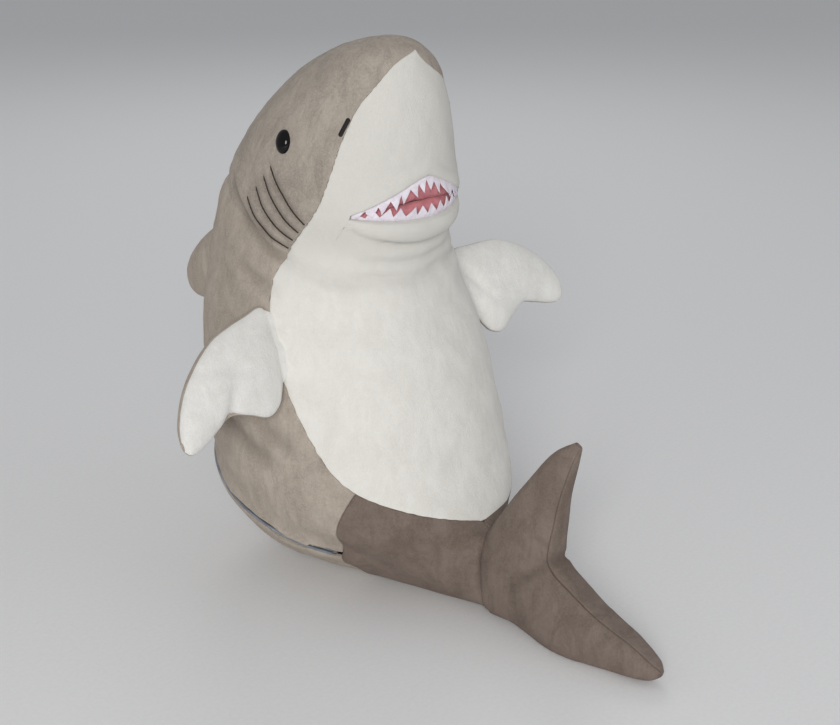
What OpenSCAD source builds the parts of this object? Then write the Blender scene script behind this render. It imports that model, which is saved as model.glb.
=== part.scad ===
// Plush shark that sits up on its rump, with its tail curled forward along the floor.
// The skin is cut from panels of plush, and it holds two stuffing pods that come out
// through a curved zip round the base. x is the toy's left, y its back and z is up.

/* [Body] */
// Seated height, from the floor to the top of the snout
seated_height = 400; // [300:5:500]
// Thickness of the plush, with its pile
skin = 2.5; // [2:0.1:3]
// Width of the gap between neighbouring panels
seam_gap = 0.4; // [0.3:0.1:0.6]

/* [Head] */
// Teeth in the upper strip of felt
upper_tooth_count = 14; // [8:1:16]
// Teeth in the lower strip of felt
lower_tooth_count = 12; // [8:1:14]
// Length of the longest tooth
tooth_length = 10; // [6:0.5:11]
// Diameter of an eye
eye_d = 15; // [12:1:18]
// Farthest that the head nods each way, in degrees
neck_swing = 8; // [4:1:9]

/* [Fins] */
// Turn of the right pectoral fin towards the back, in degrees
right_fin_turn = 5; // [-5:1:15]
// Turn of the left pectoral fin towards the back, in degrees
left_fin_turn = -4; // [-10:1:15]
// How far the left pectoral fin is lifted, as a share of its span
left_fin_lift = 0.25; // [0:0.05:0.3]
// Half the thickness of a pectoral fin at its middle
pectoral_puff = 11; // [8:0.5:12]
// Half the thickness of the dorsal fin at its middle
dorsal_puff = 10; // [8:0.5:11]
// Half the thickness of the tail fin between its lobes
tail_fin_puff = 20; // [16:1:22]

/* [Zip] */
// Radius of the curve that the zip is sewn along
zip_r = 107; // [106:0.5:108]
// Half the angle that the zip goes round, in degrees
zip_half_angle = 134; // [120:1:134]
// Length of the pull tab
pull_length = 20; // [14:1:24]

/* [Hidden] */

// Colours of the plush, felt and trim
grey = [0.62, 0.59, 0.55];
taupe = [0.44, 0.40, 0.37];
white = [0.86, 0.85, 0.83];
felt = [0.84, 0.81, 0.85];
pink = [0.66, 0.46, 0.48];
black = [0.08, 0.08, 0.09];
fibre = [0.95, 0.94, 0.90];
zip_grey = [0.42, 0.44, 0.50];
thread = [0.20, 0.17, 0.16];

// The body is a row of oval rings from the tip of the snout down the trunk and out along the tail.
// Each ring has its point on the back (y, z), its point on the belly (y, z) and its half width.
design_height = 402;
toy_scale = seated_height / design_height;
mid_y = -57.7;
RINGS = [
    [-76, 397, -78, 395, 1],
    [-50, 402, -83, 379, 26],
    [-14, 394, -87, 358, 46],
    [24, 374, -89, 334, 61],
    [54, 347, -90, 310, 71],
    [76, 318, -92, 283, 78],
    [90, 290, -78, 250, 83],
    [98, 256, -84, 218, 92],
    [103, 214, -103, 176, 104],
    [103, 165, -117, 134, 110],
    [98, 108, -127, 102, 112],
    [85, 60, -136, 84, 108],
    [56, 22, -143, 73, 95],
    [5, 1, -147, 67, 71],
    [-55, -3, -151, 64, 48],
    [-110, -2, -155, 63, 32],
    [-158, 3, -160, 62, 22]
];
last_ring = len(RINGS) - 1;
// Angle from the middle of the belly to the seam between white and grey plush, ring by ring
SEAM_ANGLES = [40, 49, 59, 58, 57, 60, 65, 72, 69, 60, 48, 29, 13, 1, 0, 0, 0];
belly_end = 12.9;

// The head nods about a line across the neck, in the crease between head and trunk
neck_z = 272;
neck_tilt = 23;
neck_gap = 0.8;

// The mouth runs between two corners, as shares of the way from the middle to the white seam
mouth_corner = 0.71;
upper_lip_top = 4.05;
corner_ring = 5;
lower_lip_ring = 5.04;
chin_drop = 0.4;
jaw_gap = 0.2;
fold_y = -70;
fold_z = 289;
fold_half_width = 43;
fold_setback = 5;
teeth_span = 0.66;
ring_pitch = 27;

// The zip lies in a tilted plane
zip_y = -5;
zip_z = 67;
zip_tilt = 20;
pinch_width = 10;
zip_groove = 3.8;
tape_depth = 6;
tape_t = 0.7;
tape_w = 5.6;
coil_gap = 0.7;
coil_w = 2.3;
coil_depth = 2;
chain_start = 90 - zip_half_angle;
chain_end = 90 + zip_half_angle;
slider_angle = chain_start + 7;
plate_t = 1.2;
plate_w = 3.4;
plate_lift = 1;
slider_span = 5;
bar_r = 0.6;
bar_r_pos = zip_r + plate_lift + plate_t + 1.6;
bar_half = 3;
pull_t = 1.2;
pull_w = 7;
pin_clearance = 0.08;

// The seam between the light side panels and the dark tail leans forward with height
tail_seam_y = -63;
tail_seam_lean = 0.345;
divider_lean = 1.1;

// Distance of a pod inside the skin
pod_depth = skin + 2.2;
// Distance inside the zip's curve that its tape and slider take up
zip_room = 10.5;

// ---- Curves and surfaces ----

// Smooth curve through the rows of a list, at a row number that may be a fraction
function curve(rows, t) = let(
    last = len(rows) - 1,
    i = max(0, min(floor(t), last - 1)),
    s = t - i,
    b = rows[i],
    c = rows[i + 1],
    a = i > 0 ? rows[i - 1] : 2 * b - c,
    d = i + 2 <= last ? rows[i + 2] : 2 * c - b
) 0.5 * (2 * b + (c - a) * s + (2 * a - 5 * b + 4 * c - d) * s * s + (3 * b - a - 3 * c + d) * s * s * s);

function unit(v) = v / norm(v);
function between(a, b, share) = a + (b - a) * share;
function ramp(x, x0, x1) = max(0, min(1, (x - x0) / (x1 - x0)));

function seam_angle(t) = max(0, curve(SEAM_ANGLES, t));

// Point on a ring, at an angle from the belly towards the toy's left
function ring_point(t, angle) = let(
    r = curve(RINGS, t),
    back = [0, r[0], r[1]],
    belly = [0, r[2], r[3]]
) (back + belly) / 2 + (belly - back) / 2 * cos(angle) + [r[4] * sin(angle), 0, 0];

// Coordinates about the zip's axis: left, back and height above the zip's plane
function zip_local(p) = [
    p.x,
    (p.y - zip_y) * cos(zip_tilt) + (p.z - zip_z) * sin(zip_tilt),
    (p.z - zip_z) * cos(zip_tilt) - (p.y - zip_y) * sin(zip_tilt)
];
function zip_world(q) = [
    q.x,
    zip_y + q.y * cos(zip_tilt) - q.z * sin(zip_tilt),
    zip_z + q.y * sin(zip_tilt) + q.z * cos(zip_tilt)
];
function zip_nearness(q) = exp(-pow(q.z / pinch_width, 2)) * ramp(q.y, -96, -80);

// The zip draws the skin in or out to its own curve
function pinched(p) = let(
    q = zip_local(p),
    r = norm([q.x, q.y]),
    k = 1 + (zip_r / max(r, 1) - 1) * zip_nearness(q)
) r < 60 ? p : zip_world([q.x * k, q.y * k, q.z]);

// Point on the skin; the part that rests on the floor is flat
floor_z = -0.3;
function skin_point(t, angle) = let(p = pinched(ring_point(t, angle))) [p.x, p.y, max(p.z, floor_z)];

function skin_normal(t, angle) = let(
    d = 0.03,
    t0 = max(t - d, 0),
    t1 = min(t + d, last_ring)
) unit(cross(
    pinched(ring_point(t1, angle)) - pinched(ring_point(t0, angle)),
    pinched(ring_point(t, angle + 1)) - pinched(ring_point(t, angle - 1))
));

// Point at a depth under the skin; a negative depth stands proud of it
function under_skin(t, angle, depth) = let(
    p = pinched(ring_point(t, angle)) - skin_normal(t, angle) * depth
) [p.x, p.y, max(p.z, floor_z + depth)];

// Angle of the gap beside a seam
function gap_angle(t) = min(12, seam_gap / 2 / max(curve(RINGS, t)[4], 1) * 57.3);

// Angle on a grey panel: share 0 is the white seam and share 1 is the middle of the back
function grey_angle(t, share) = let(a = seam_angle(t) + gap_angle(t), b = 180 - gap_angle(t)) between(a, b, share);
// Angle on a white panel: share -1 is the right seam and share 1 is the left seam
function white_angle(t, share) = share * max(seam_angle(t) - gap_angle(t), 0.2);

// Ring number at which a test along a line of the skin stops being above zero
function crossing(test, lo, hi, steps = 12) = let(m = (lo + hi) / 2)
    steps == 0 ? m : test(m) > 0 ? crossing(test, m, hi, steps - 1) : crossing(test, lo, m, steps - 1);

// Height above the neck's plane, and half the width of the wedge that the nod needs there
function above_neck(p) = (p.z - neck_z) * cos(neck_tilt) - p.y * sin(neck_tilt);
function neck_wedge(p) = let(r = p.y * cos(neck_tilt) + (p.z - neck_z) * sin(neck_tilt))
    neck_gap / 2 + abs(r) * tan(neck_swing / 2 + 0.3);
function head_edge(angle) = crossing(function(t) let(p = skin_point(t, angle(t))) above_neck(p) - neck_wedge(p), 4, 8);
function trunk_edge(angle) = crossing(function(t) let(p = skin_point(t, angle(t))) above_neck(p) + neck_wedge(p), 4, 8);

// Distance behind the tail seam, and behind the divider that closes off the tail's stuffing
function behind_tail_seam(p) = (p.y - tail_seam_y + tail_seam_lean * p.z) / norm([1, tail_seam_lean]);
function behind_divider(p) = (p.y - tail_seam_y + divider_lean * p.z) / norm([1, divider_lean]);

// Ring numbers where a line of the grey skin meets the tail seam and the zip
function tail_seam_ring(share, gap) =
    crossing(function(t) behind_tail_seam(skin_point(t, grey_angle(t, share))) - gap, 8, last_ring);
function zip_ring(share, gap) =
    crossing(function(t) zip_local(skin_point(t, grey_angle(t, share))).z - gap, 7, last_ring);

// ---- Solids from grids of points ----

// Closed slab between an outer and an inner grid; open(i, j) leaves a cell out
module slab(outer, inner, open = function(i, j) false) {
    rows = len(outer) - 1;
    cols = len(outer[0]) - 1;
    half = (rows + 1) * (cols + 1);
    index = function(i, j) i * (cols + 1) + j;
    filled = function(i, j) i >= 0 && j >= 0 && i < rows && j < cols && !open(i, j);
    cells = [for (i = [0:rows - 1], j = [0:cols - 1]) if (filled(i, j)) [i, j]];
    faces = [
        for (c = cells) let(
            i = c[0],
            j = c[1],
            a = index(i, j),
            b = index(i, j + 1),
            e = index(i + 1, j + 1),
            d = index(i + 1, j)
        ) each [
            [a, b, e], [a, e, d], [half + a, half + e, half + b], [half + a, half + d, half + e],
            if (!filled(i - 1, j)) each [[b, a, half + a], [b, half + a, half + b]],
            if (!filled(i + 1, j)) each [[d, e, half + e], [d, half + e, half + d]],
            if (!filled(i, j - 1)) each [[a, d, half + d], [a, half + d, half + a]],
            if (!filled(i, j + 1)) each [[e, b, half + b], [e, half + b, half + e]]
        ]
    ];
    polyhedron([for (r = outer) each r, for (r = inner) each r], faces);
}

// Closed bag through rings of points, with a point at each end
module bag(rings, first, last) {
    n = len(rings);
    m = len(rings[0]);
    index = function(i, j) i * m + j % m;
    faces = [
        for (i = [0:n - 2], j = [0:m - 1]) each [
            [index(i, j), index(i, j + 1), index(i + 1, j + 1)],
            [index(i, j), index(i + 1, j + 1), index(i + 1, j)]
        ],
        for (j = [0:m - 1]) each [
            [index(0, j + 1), index(0, j), n * m],
            [index(n - 1, j), index(n - 1, j + 1), n * m + 1]
        ]
    ];
    polyhedron([for (r = rings) each r, first, last], faces);
}

function middle(points) = [for (p = points) 1] * points / len(points);

// Panel of skin between two ring numbers on each line of the given angles.
// Rows are closer together towards the end when crowding is above 1, and towards the start when it is below -1.
module skin_panel(lines, start, end, rows, angle, crowding = 1) {
    spacing = function(x) crowding > 0 ? 1 - pow(1 - x, crowding) : pow(x, -crowding);
    rings = [for (i = [0:rows]) [for (s = lines) between(start(s), end(s), spacing(i / rows))]];
    slab(
        [for (r = rings) [for (j = [0:len(lines) - 1]) skin_point(r[j], angle(r[j], lines[j]))]],
        [for (r = rings) [for (j = [0:len(lines) - 1]) under_skin(r[j], angle(r[j], lines[j]), skin)]]
    );
}

// Moves a solid from the drawing's place to the middle of the toy, at its size
module toy() {
    scale(toy_scale) translate([0, -mid_y, 0]) children();
}

// Takes off what would be below the floor
module on_floor() {
    difference() {
        children();
        translate([-150, -400, -10]) cube([300, 700, 10]);
    }
}

// ---- Trunk ----

grey_lines = [for (j = [0:14]) j / 14];
// How much closer together the rows of points are beside the zip
row_crowding = 1.5;

module side_panel_left() {
    color(grey) toy() skin_panel(
        grey_lines,
        function(s) trunk_edge(function(t) grey_angle(t, s)),
        function(s) min(tail_seam_ring(s, seam_gap / 2), zip_ring(s, zip_groove)),
        14,
        function(t, s) grey_angle(t, s),
        row_crowding
    );
}

module side_panel_right() {
    mirror([1, 0, 0]) side_panel_left();
}

module belly_panel() {
    color(white) toy() skin_panel(
        [for (j = [-4:4]) j / 4],
        function(s) trunk_edge(function(t) white_angle(t, s)),
        function(s) belly_end,
        20,
        function(t, s) white_angle(t, s)
    );
}

// Share of the way round to the back at which the zip meets the tail seam
zip_end_share = crossing(function(s) tail_seam_ring(s, seam_gap) < zip_ring(s, -zip_groove) ? 1 : -1, 0, 1) + 0.02;

// The base runs from one end of the zip round to the other, so its lines go past the back's middle
module base_panel() {
    shares = [for (j = [0:8]) between(zip_end_share, 1, j / 8)];
    half = function(side) [
        for (i = [0:11]) [
            for (s = shares) let(
                t = between(zip_ring(s, -zip_groove), tail_seam_ring(s, seam_gap / 2), pow(i / 11, row_crowding)),
                a = between(seam_angle(t), 180, s)
            ) side > 0 ? skin_point(t, a) : under_skin(t, a, skin)
        ]
    ];
    flip = function(p) [-p.x, p.y, p.z];
    both = function(rows) [for (r = rows) [each r, for (j = [len(r) - 2:-1:0]) flip(r[j])]];
    color(grey) toy() on_floor() slab(both(half(1)), both(half(-1)));
}

module tail_panel_left() {
    color(taupe) toy() on_floor() skin_panel(
        [for (j = [0:8]) j / 8],
        function(s) tail_seam_ring(s, -seam_gap / 2),
        function(s) last_ring - 0.02,
        12,
        function(t, s) grey_angle(t, s),
        -row_crowding
    );
}

module tail_panel_right() {
    mirror([1, 0, 0]) tail_panel_left();
}

ring_angles = [for (j = [0:23]) j * 15];

// Moves a point in towards the zip's axis, so that the zip and its slider have room
function beside_zip(p) = let(
    q = zip_local(p),
    r = norm([q.x, q.y]),
    beyond_ends = 1 - ramp(q.y, -94, -84),
    room = zip_r - zip_room + max(0, abs(q.z) - tape_w) * 1.2 + beyond_ends * 40
) r > room ? zip_world([q.x * room / r, q.y * room / r, q.z]) : p;

// Stuffing pod of the trunk, with a groove for the zip
module body_pod() {
    rows = 8;
    end = function(a) crossing(function(t) behind_divider(skin_point(t, a)) - 0.4, 9, last_ring);
    zip = function(a) crossing(function(t) zip_local(skin_point(t, a)).z, 7, last_ring);
    ring = function(i, start, mid, end) i < rows
        ? between(mid, start, pow(1 - i / rows, row_crowding))
        : between(mid, end, pow(i / rows - 1, row_crowding));
    rings = [
        for (i = [0:2 * rows]) [
            for (a = ring_angles) let(
                start = trunk_edge(function(t) a),
                stop = end(a),
                mid = min(zip(a), between(start, stop, 0.92))
            ) beside_zip(under_skin(ring(i, start, mid, stop), a, pod_depth))
        ]
    ];
    neck = [0, sin(neck_tilt), -cos(neck_tilt)] * neck_gap / 2 + [0, 0, neck_z];
    color(fibre) toy() bag(rings, neck, middle(rings[2 * rows]));
}

module tail_stuffing() {
    start = function(a) crossing(function(t) behind_divider(skin_point(t, a)) + 0.4, 9, last_ring);
    rings = [
        for (i = [0:6]) [
            for (a = ring_angles) under_skin(between(start(a), last_ring - 0.05, i / 6), a, pod_depth)
        ]
    ];
    color(fibre) toy() bag(rings, middle(rings[0]), middle(rings[6]));
}

// ---- Zip ----

module zip_frame() {
    toy() translate([0, zip_y, zip_z]) rotate([zip_tilt, 0, 0]) children();
}

// Strip that follows the zip's curve: a range of angles, of radii and of heights
module zip_strip(angles, radii, heights) {
    rotate([0, 0, angles[0]])
        rotate_extrude(angle = angles[1] - angles[0], $fn = 180)
            translate([radii[0], heights[0]]) square([radii[1] - radii[0], heights[1] - heights[0]]);
}

module zip_tape(side) {
    edges = side > 0 ? [coil_gap, tape_w] : [-tape_w, -coil_gap];
    color(zip_grey) zip_frame()
        zip_strip([chain_start, chain_end], [zip_r - tape_depth, zip_r - tape_depth + tape_t], edges);
}

module zip_coil(side) {
    edges = side > 0 ? [coil_gap, coil_gap + coil_w] : [-coil_gap - coil_w, -coil_gap];
    radii = [zip_r - tape_depth + tape_t + 0.02, zip_r - coil_depth];
    color(zip_grey) zip_frame() zip_strip([chain_start + 2.2, chain_end - 2.2], radii, edges);
}

module zip_tape_upper() {
    zip_tape(1);
}

module zip_tape_lower() {
    zip_tape(-1);
}

module zip_coil_upper() {
    zip_coil(1);
}

module zip_coil_lower() {
    zip_coil(-1);
}

// A stop at each end holds the two rows together
module zip_end_stops() {
    height = coil_gap + coil_w;
    radii = [zip_r - tape_depth + tape_t + 0.02, zip_r - coil_depth];
    color(zip_grey) zip_frame() {
        zip_strip([chain_start + 0.6, chain_start + 2], radii, [-height, height]);
        zip_strip([chain_end - 2, chain_end - 0.6], radii, [-height, height]);
    }
}

// Two plates joined by a post that runs between the rows, with a bar for the pull
module zip_slider() {
    span = [slider_angle - slider_span / 2, slider_angle + slider_span / 2];
    post = [slider_angle - 0.5, slider_angle + 0.5];
    top = zip_r + plate_lift;
    bottom = zip_r - tape_depth - 0.7;
    color(zip_grey) zip_frame() {
        zip_strip(span, [top, top + plate_t], [-plate_w, plate_w]);
        zip_strip(span, [bottom - plate_t, bottom], [-plate_w, plate_w]);
        zip_strip(post, [bottom - 0.1, top + 0.1], [-0.35, 0.35]);
        rotate([0, 0, slider_angle]) {
            translate([bar_r_pos, 0, -bar_half]) cylinder(r = bar_r, h = 2 * bar_half, $fn = 32);
            for (z = [-bar_half, bar_half - 0.8])
                translate([top + plate_t - 0.2, -0.8, z]) cube([bar_r_pos - top - plate_t + 0.6, 1.6, 0.8]);
        }
    }
}

// Flat tab with an eye round the slider's bar
module zip_pull() {
    eye_r = 1.2;
    eye_half = bar_half - 1.1;
    color(zip_grey) zip_frame() rotate([0, 0, slider_angle]) translate([bar_r_pos, 0, 0]) difference() {
        union() {
            translate([0, 0, -eye_half]) cylinder(r = eye_r, h = 2 * eye_half, $fn = 32);
            translate([-pull_t / 2, 0, -eye_half]) cube([pull_t, pull_length / 2, 2 * eye_half]);
            translate([-pull_t / 2, pull_length / 3, -pull_w / 2]) cube([pull_t, pull_length * 2 / 3, pull_w]);
        }
        translate([0, 0, -pull_w]) cylinder(r = bar_r + pin_clearance, h = 2 * pull_w, $fn = 32);
    }
}

// ---- Head ----

first_ring = 0.02;

module head_panel_left() {
    color(grey) toy() skin_panel(
        [for (j = [0:10]) j / 10],
        function(s) first_ring,
        function(s) head_edge(function(t) grey_angle(t, s)),
        12,
        function(t, s) grey_angle(t, s)
    );
}

module head_panel_right() {
    mirror([1, 0, 0]) head_panel_left();
}

// Lip and chin lines as ring numbers, at a share of the way to the white seam
function upper_lip(s) = upper_lip_top + (corner_ring - upper_lip_top) * pow(min(1, abs(s) / mouth_corner), 1.3);
function below_lip(s) = cos(90 * min(1, abs(s) / mouth_corner));
function chin_line(s) = lower_lip_ring + 0.02 + chin_drop * below_lip(s);
function throat_line(s) = lower_lip_ring + 0.06 + (chin_drop + jaw_gap) * below_lip(s);

// White panel under the snout and the throat, with the mouth cut out of it
module face_panel() {
    shares = [-1, -0.86, -mouth_corner, -0.55, -0.37, -0.18, 0, 0.18, 0.37, 0.55, mouth_corner, 0.86, 1];
    lip_row = 10;
    throat_rows = 4;
    ring = function(i, s) i <= lip_row
        ? between(first_ring, upper_lip(s), i / lip_row)
        : between(throat_line(s), head_edge(function(t) white_angle(t, s)), (i - lip_row - 1) / throat_rows);
    points = function(depth) [
        for (i = [0:lip_row + 1 + throat_rows]) [
            for (s = shares) let(t = ring(i, s)) under_skin(t, white_angle(t, s), depth)
        ]
    ];
    color(white) toy() slab(points(0), points(skin), function(i, j) i == lip_row && j >= 2 && j <= 9);
}

// Stuffing pod of the head, set back behind the mouth
module head_pod() {
    front = function(t) t < 4.5 ? between(-96, -58, ramp(t, 3.9, 4.5)) : between(-58, -82, ramp(t, 5.75, 6.2));
    set_back = function(p, t) [p.x, max(p.y, front(t)), p.z];
    rings = [
        for (i = [0:15]) [
            for (a = ring_angles) let(t = between(0.25, head_edge(function(t) a), i / 15))
                set_back(under_skin(t, a, pod_depth), t)
        ]
    ];
    neck = [0, -sin(neck_tilt), cos(neck_tilt)] * neck_gap / 2 + [0, 0, neck_z];
    color(fibre) toy() bag(rings, middle(rings[0]) + [0, 0, 0.5], neck);
}

// Safety eye: a dome outside the skin and a shank through it
eye_ring = 3.75;
eye_angle = 92;

module eye_frame(depth) {
    n = skin_normal(eye_ring, eye_angle);
    p = skin_point(eye_ring, eye_angle) - n * depth;
    toy() translate(p) rotate([0, acos(n.z), atan2(n.y, n.x)]) children();
}

module eye_left() {
    dome = 4;
    sphere_r = (pow(eye_d / 2, 2) + pow(dome, 2)) / (2 * dome);
    color(black) eye_frame(0) {
        translate([0, 0, 0.3]) intersection() {
            translate([0, 0, dome - sphere_r]) sphere(r = sphere_r, $fn = 64);
            cylinder(d = eye_d, h = dome, $fn = 64);
        }
        translate([0, 0, -8]) cylinder(d = 4, h = 8.5, $fn = 32);
    }
}

module eye_right() {
    mirror([1, 0, 0]) eye_left();
}

module eye_washer_left() {
    color(fibre) eye_frame(skin + 3) difference() {
        cylinder(d = 14, h = 1.4, $fn = 48);
        translate([0, 0, -1]) cylinder(d = 4.1, h = 4, $fn = 32);
    }
}

module eye_washers() {
    eye_washer_left();
    mirror([1, 0, 0]) eye_washer_left();
}

// Raised line of thread along a curve of [ring, angle] points
module stitching(path, width, steps) {
    last = len(path) - 1;
    spot = function(k) curve(path, k * last / steps);
    centre = [for (k = [0:steps]) under_skin(spot(k)[0], spot(k)[1], 0)];
    up = [for (k = [0:steps]) skin_normal(spot(k)[0], spot(k)[1])];
    side = [
        for (k = [0:steps]) let(d = centre[min(k + 1, steps)] - centre[max(k - 1, 0)]) unit(cross(up[k], d))
    ];
    edge = [for (k = [0:steps]) width / 2 * max(0.25, sqrt(sin(180 * k / steps)))];
    row = function(height) [
        for (k = [0:steps]) [for (j = [-1, 0, 1]) centre[k] + side[k] * edge[k] * j + up[k] * height * (1.2 - abs(j))]
    ];
    low = [for (k = [0:steps]) [for (j = [-1, 0, 1]) centre[k] + side[k] * edge[k] * j + up[k] * 0.25]];
    slab(row(1.1), low);
}

NOSTRIL = [[2.56, 59.5], [2.8, 60.5], [3.06, 61.5]];

module nostril_left() {
    color(black) toy() stitching([for (p = NOSTRIL) [p[0], p[1] + 2]], 3, 6);
}

module nostril_right() {
    mirror([1, 0, 0]) nostril_left();
}

// Four gill slits, each a line of stitches from beside the back to near the white seam
GILLS = [
    [[4.5, 92], [4.8, 80], [5.2, 68], [5.35, 63]],
    [[4.8, 96], [5.1, 82], [5.4, 70], [5.55, 65]],
    [[5.05, 97], [5.4, 86], [5.6, 73], [5.7, 67]],
    [[5.3, 99], [5.5, 90], [5.6, 84], [5.7, 78]]
];

module gill_stitches_left() {
    color(thread) toy() for (g = GILLS) stitching(g, 1.4, 8);
}

module gill_stitches_right() {
    mirror([1, 0, 0]) gill_stitches_left();
}

// Strip of felt teeth along a lip line; way is 1 for teeth that point down and -1 for up
module tooth_strip(count, lip, way, depth, room) {
    n = 2 * count;
    share = function(k) teeth_span * (2 * k / n - 1);
    tip = function(k) k % 2 == 1 ? min(tooth_length, room(share(k))) : 0.8;
    grid = function(d) [
        [for (k = [0:n]) let(s = share(k), t = lip(s) - way * 0.07) under_skin(t, white_angle(t, s), d)],
        [for (k = [0:n]) let(s = share(k), t = lip(s) + way * tip(k) / ring_pitch) under_skin(t, white_angle(t, s), d)]
    ];
    if (way > 0)
        slab(grid(depth), grid(depth + 1));
    else
        slab([grid(depth)[1], grid(depth)[0]], [grid(depth + 1)[1], grid(depth + 1)[0]]);
}

// Where the two linings meet, from -1 at the right corner of the mouth to 1 at the left one
function fold_point(k) = [k * fold_half_width, fold_y + fold_setback * k * k, fold_z];

function mouth_room(s) = (lower_lip_ring - upper_lip(s)) * ring_pitch;

module upper_teeth() {
    color(felt) toy()
        tooth_strip(upper_tooth_count, function(s) upper_lip(s), 1, skin + 0.9, function(s) max(1.2, 0.75 * mouth_room(s)));
}

// Pocket lining from a lip to the fold between the mouth's corners
module mouth_lining(lip, depth, side) {
    shares = [for (j = [-6:6]) j / 6];
    edge = function(k) let(s = k * teeth_span, t = lip(s)) under_skin(t, white_angle(t, s), depth);
    fold = function(k) fold_point(k) + [0, 0, side * 0.6];
    rows = [for (i = [0:3]) [for (k = shares) between(edge(k), fold(k), i / 3)]];
    shifted = [for (r = rows) [for (p = r) p + [0, 0, side * 0.8]]];
    if (side > 0)
        slab(rows, shifted);
    else
        slab(shifted, rows);
}

module upper_mouth_lining() {
    color(pink) toy() mouth_lining(function(s) upper_lip(s) - 0.02, skin + 2.4, 1);
}

// ---- Jaw ----

module chin_panel() {
    color(white) toy() skin_panel(
        [for (j = [-6:6]) j * teeth_span / 6],
        function(s) lower_lip_ring,
        function(s) chin_line(s),
        4,
        function(t, s) white_angle(t, s)
    );
}

module jaw_stuffing() {
    span = teeth_span - 0.06;
    shares = [for (j = [6:-1:-6]) j * span / 6];
    section = function(s) let(
        top = lower_lip_ring + 0.14,
        low = max(top + 0.03, chin_line(s) - 0.03),
        inner = fold_point(s / teeth_span) - [0, 1.6, 4]
    ) [
        under_skin(top, white_angle(top, s), skin + 3),
        under_skin(between(top, low, 0.4), white_angle(top, s), skin + 0.4),
        under_skin(low, white_angle(low, s), skin + 0.4),
        inner + [0, 0, -1.5],
        inner
    ];
    rings = [for (s = shares) section(s)];
    color(fibre) toy() bag(rings, middle(rings[0]), middle(rings[12]));
}

module lower_teeth() {
    color(felt) toy() tooth_strip(
        lower_tooth_count,
        function(s) lower_lip_ring,
        -1,
        skin + 2.3,
        function(s) max(1.2, min(8.5, 0.7 * mouth_room(s)))
    );
}

module lower_mouth_lining() {
    color(pink) toy() mouth_lining(function(s) lower_lip_ring, skin + 3.8, -1);
}

// ---- Fins ----

// A fin is drawn flat. Each station has its front edge, its back edge and half its thickness there.
// frame is [place of the root, direction out, direction along the root, direction of the face].
function fin_place(frame, out, along, off) = frame[0] + frame[1] * out + frame[2] * along + frame[3] * off;

// Half thickness across a fin: nothing more than the fabric at its edges and round between them
function fin_half(puff, share) = 1.3 + max(0, puff - 1.3) * pow(max(0, sin(180 * share)), 0.6);

function fin_grid(stations, frame, k0, k1, rows, shares, half) = [
    for (i = [0:rows]) let(k = between(k0, k1, i / rows), st = curve(stations, k)) [
        for (s = shares) fin_place(frame, between(st[0], st[2], s), between(st[1], st[3], s), half(st[4], s))
    ]
];

fin_shares = [0, 0.06, 0.18, 0.34, 0.5, 0.66, 0.82, 0.94, 1];
fin_gap = 0.15;

// side is 1 for the face that the frame's last direction points out of, and -1 for the other
module fin_panel(stations, frame, side) {
    last = len(stations) - 1;
    outer = fin_grid(stations, frame, 0, last, last, fin_shares, function(p, s) side * fin_half(p, s));
    inner = fin_grid(stations, frame, 0, last, last, fin_shares,
        function(p, s) side * max(fin_gap, fin_half(p, s) - skin));
    if (side > 0)
        slab(inner, outer);
    else
        slab(outer, inner);
}

module fin_stuffing(stations, frame) {
    last = len(stations) - 1;
    shares = [0.08, 0.2, 0.35, 0.5, 0.65, 0.8, 0.92];
    half = function(side) function(p, s) side * max(0.3, fin_half(p, s) - skin - 0.8);
    front = fin_grid(stations, frame, 1, last - 1, last - 2, shares, half(1));
    back = fin_grid(stations, frame, 1, last - 1, last - 2, shares, half(-1));
    slab(back, front);
}

// Pectoral fin: out from the root, along the root towards the tail, for the front and back edges
function pectoral(lift) = let(puff = pectoral_puff) [
    for (st = [
        [2.6, -27, 2.6, 27, 1.5],
        [5, -29, 5, 33, 3.2],
        [10, -29, 10, 42, 6],
        [20, -25, 20, 48, puff * 0.86],
        [36, -19, 34, 44, puff],
        [50, -12, 48, 42, puff],
        [64, 0, 60, 49, puff * 0.9],
        [76, 14, 70, 56, puff * 0.8],
        [84, 28, 79, 61, puff * 0.65],
        [89, 42, 85, 62, puff * 0.45],
        [90, 52, 89, 59, 1.6]
    ]) [st[0] * (1 + lift / 3), st[1] - lift * st[0], st[2] * (1 + lift / 3), st[3] - lift * st[2], st[4]]
];

// Root of the left pectoral fin: its middle, and the direction along it towards the tail
pectoral_root = [94.5, -34, 196];
pectoral_along = unit([6, -27, -52]);

// turn swings the fin towards the back, about its root
function pectoral_frame(turn) = let(
    side = unit([1, 0, 0] - pectoral_along * pectoral_along.x),
    face = cross(pectoral_along, side),
    out = side * cos(turn) - face * sin(turn)
) [pectoral_root, out, pectoral_along, cross(pectoral_along, out)];

module fin_left_under_panel() {
    color(white) toy() fin_panel(pectoral(left_fin_lift), pectoral_frame(left_fin_turn), 1);
}

module fin_left_top_panel() {
    color(grey) toy() fin_panel(pectoral(left_fin_lift), pectoral_frame(left_fin_turn), -1);
}

module fin_left_stuffing() {
    color(fibre) toy() fin_stuffing(pectoral(left_fin_lift), pectoral_frame(left_fin_turn));
}

module fin_right_under_panel() {
    color(white) toy() mirror([1, 0, 0]) fin_panel(pectoral(0), pectoral_frame(right_fin_turn), 1);
}

module fin_right_top_panel() {
    color(grey) toy() mirror([1, 0, 0]) fin_panel(pectoral(0), pectoral_frame(right_fin_turn), -1);
}

module fin_right_stuffing() {
    color(fibre) toy() mirror([1, 0, 0]) fin_stuffing(pectoral(0), pectoral_frame(right_fin_turn));
}

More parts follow.
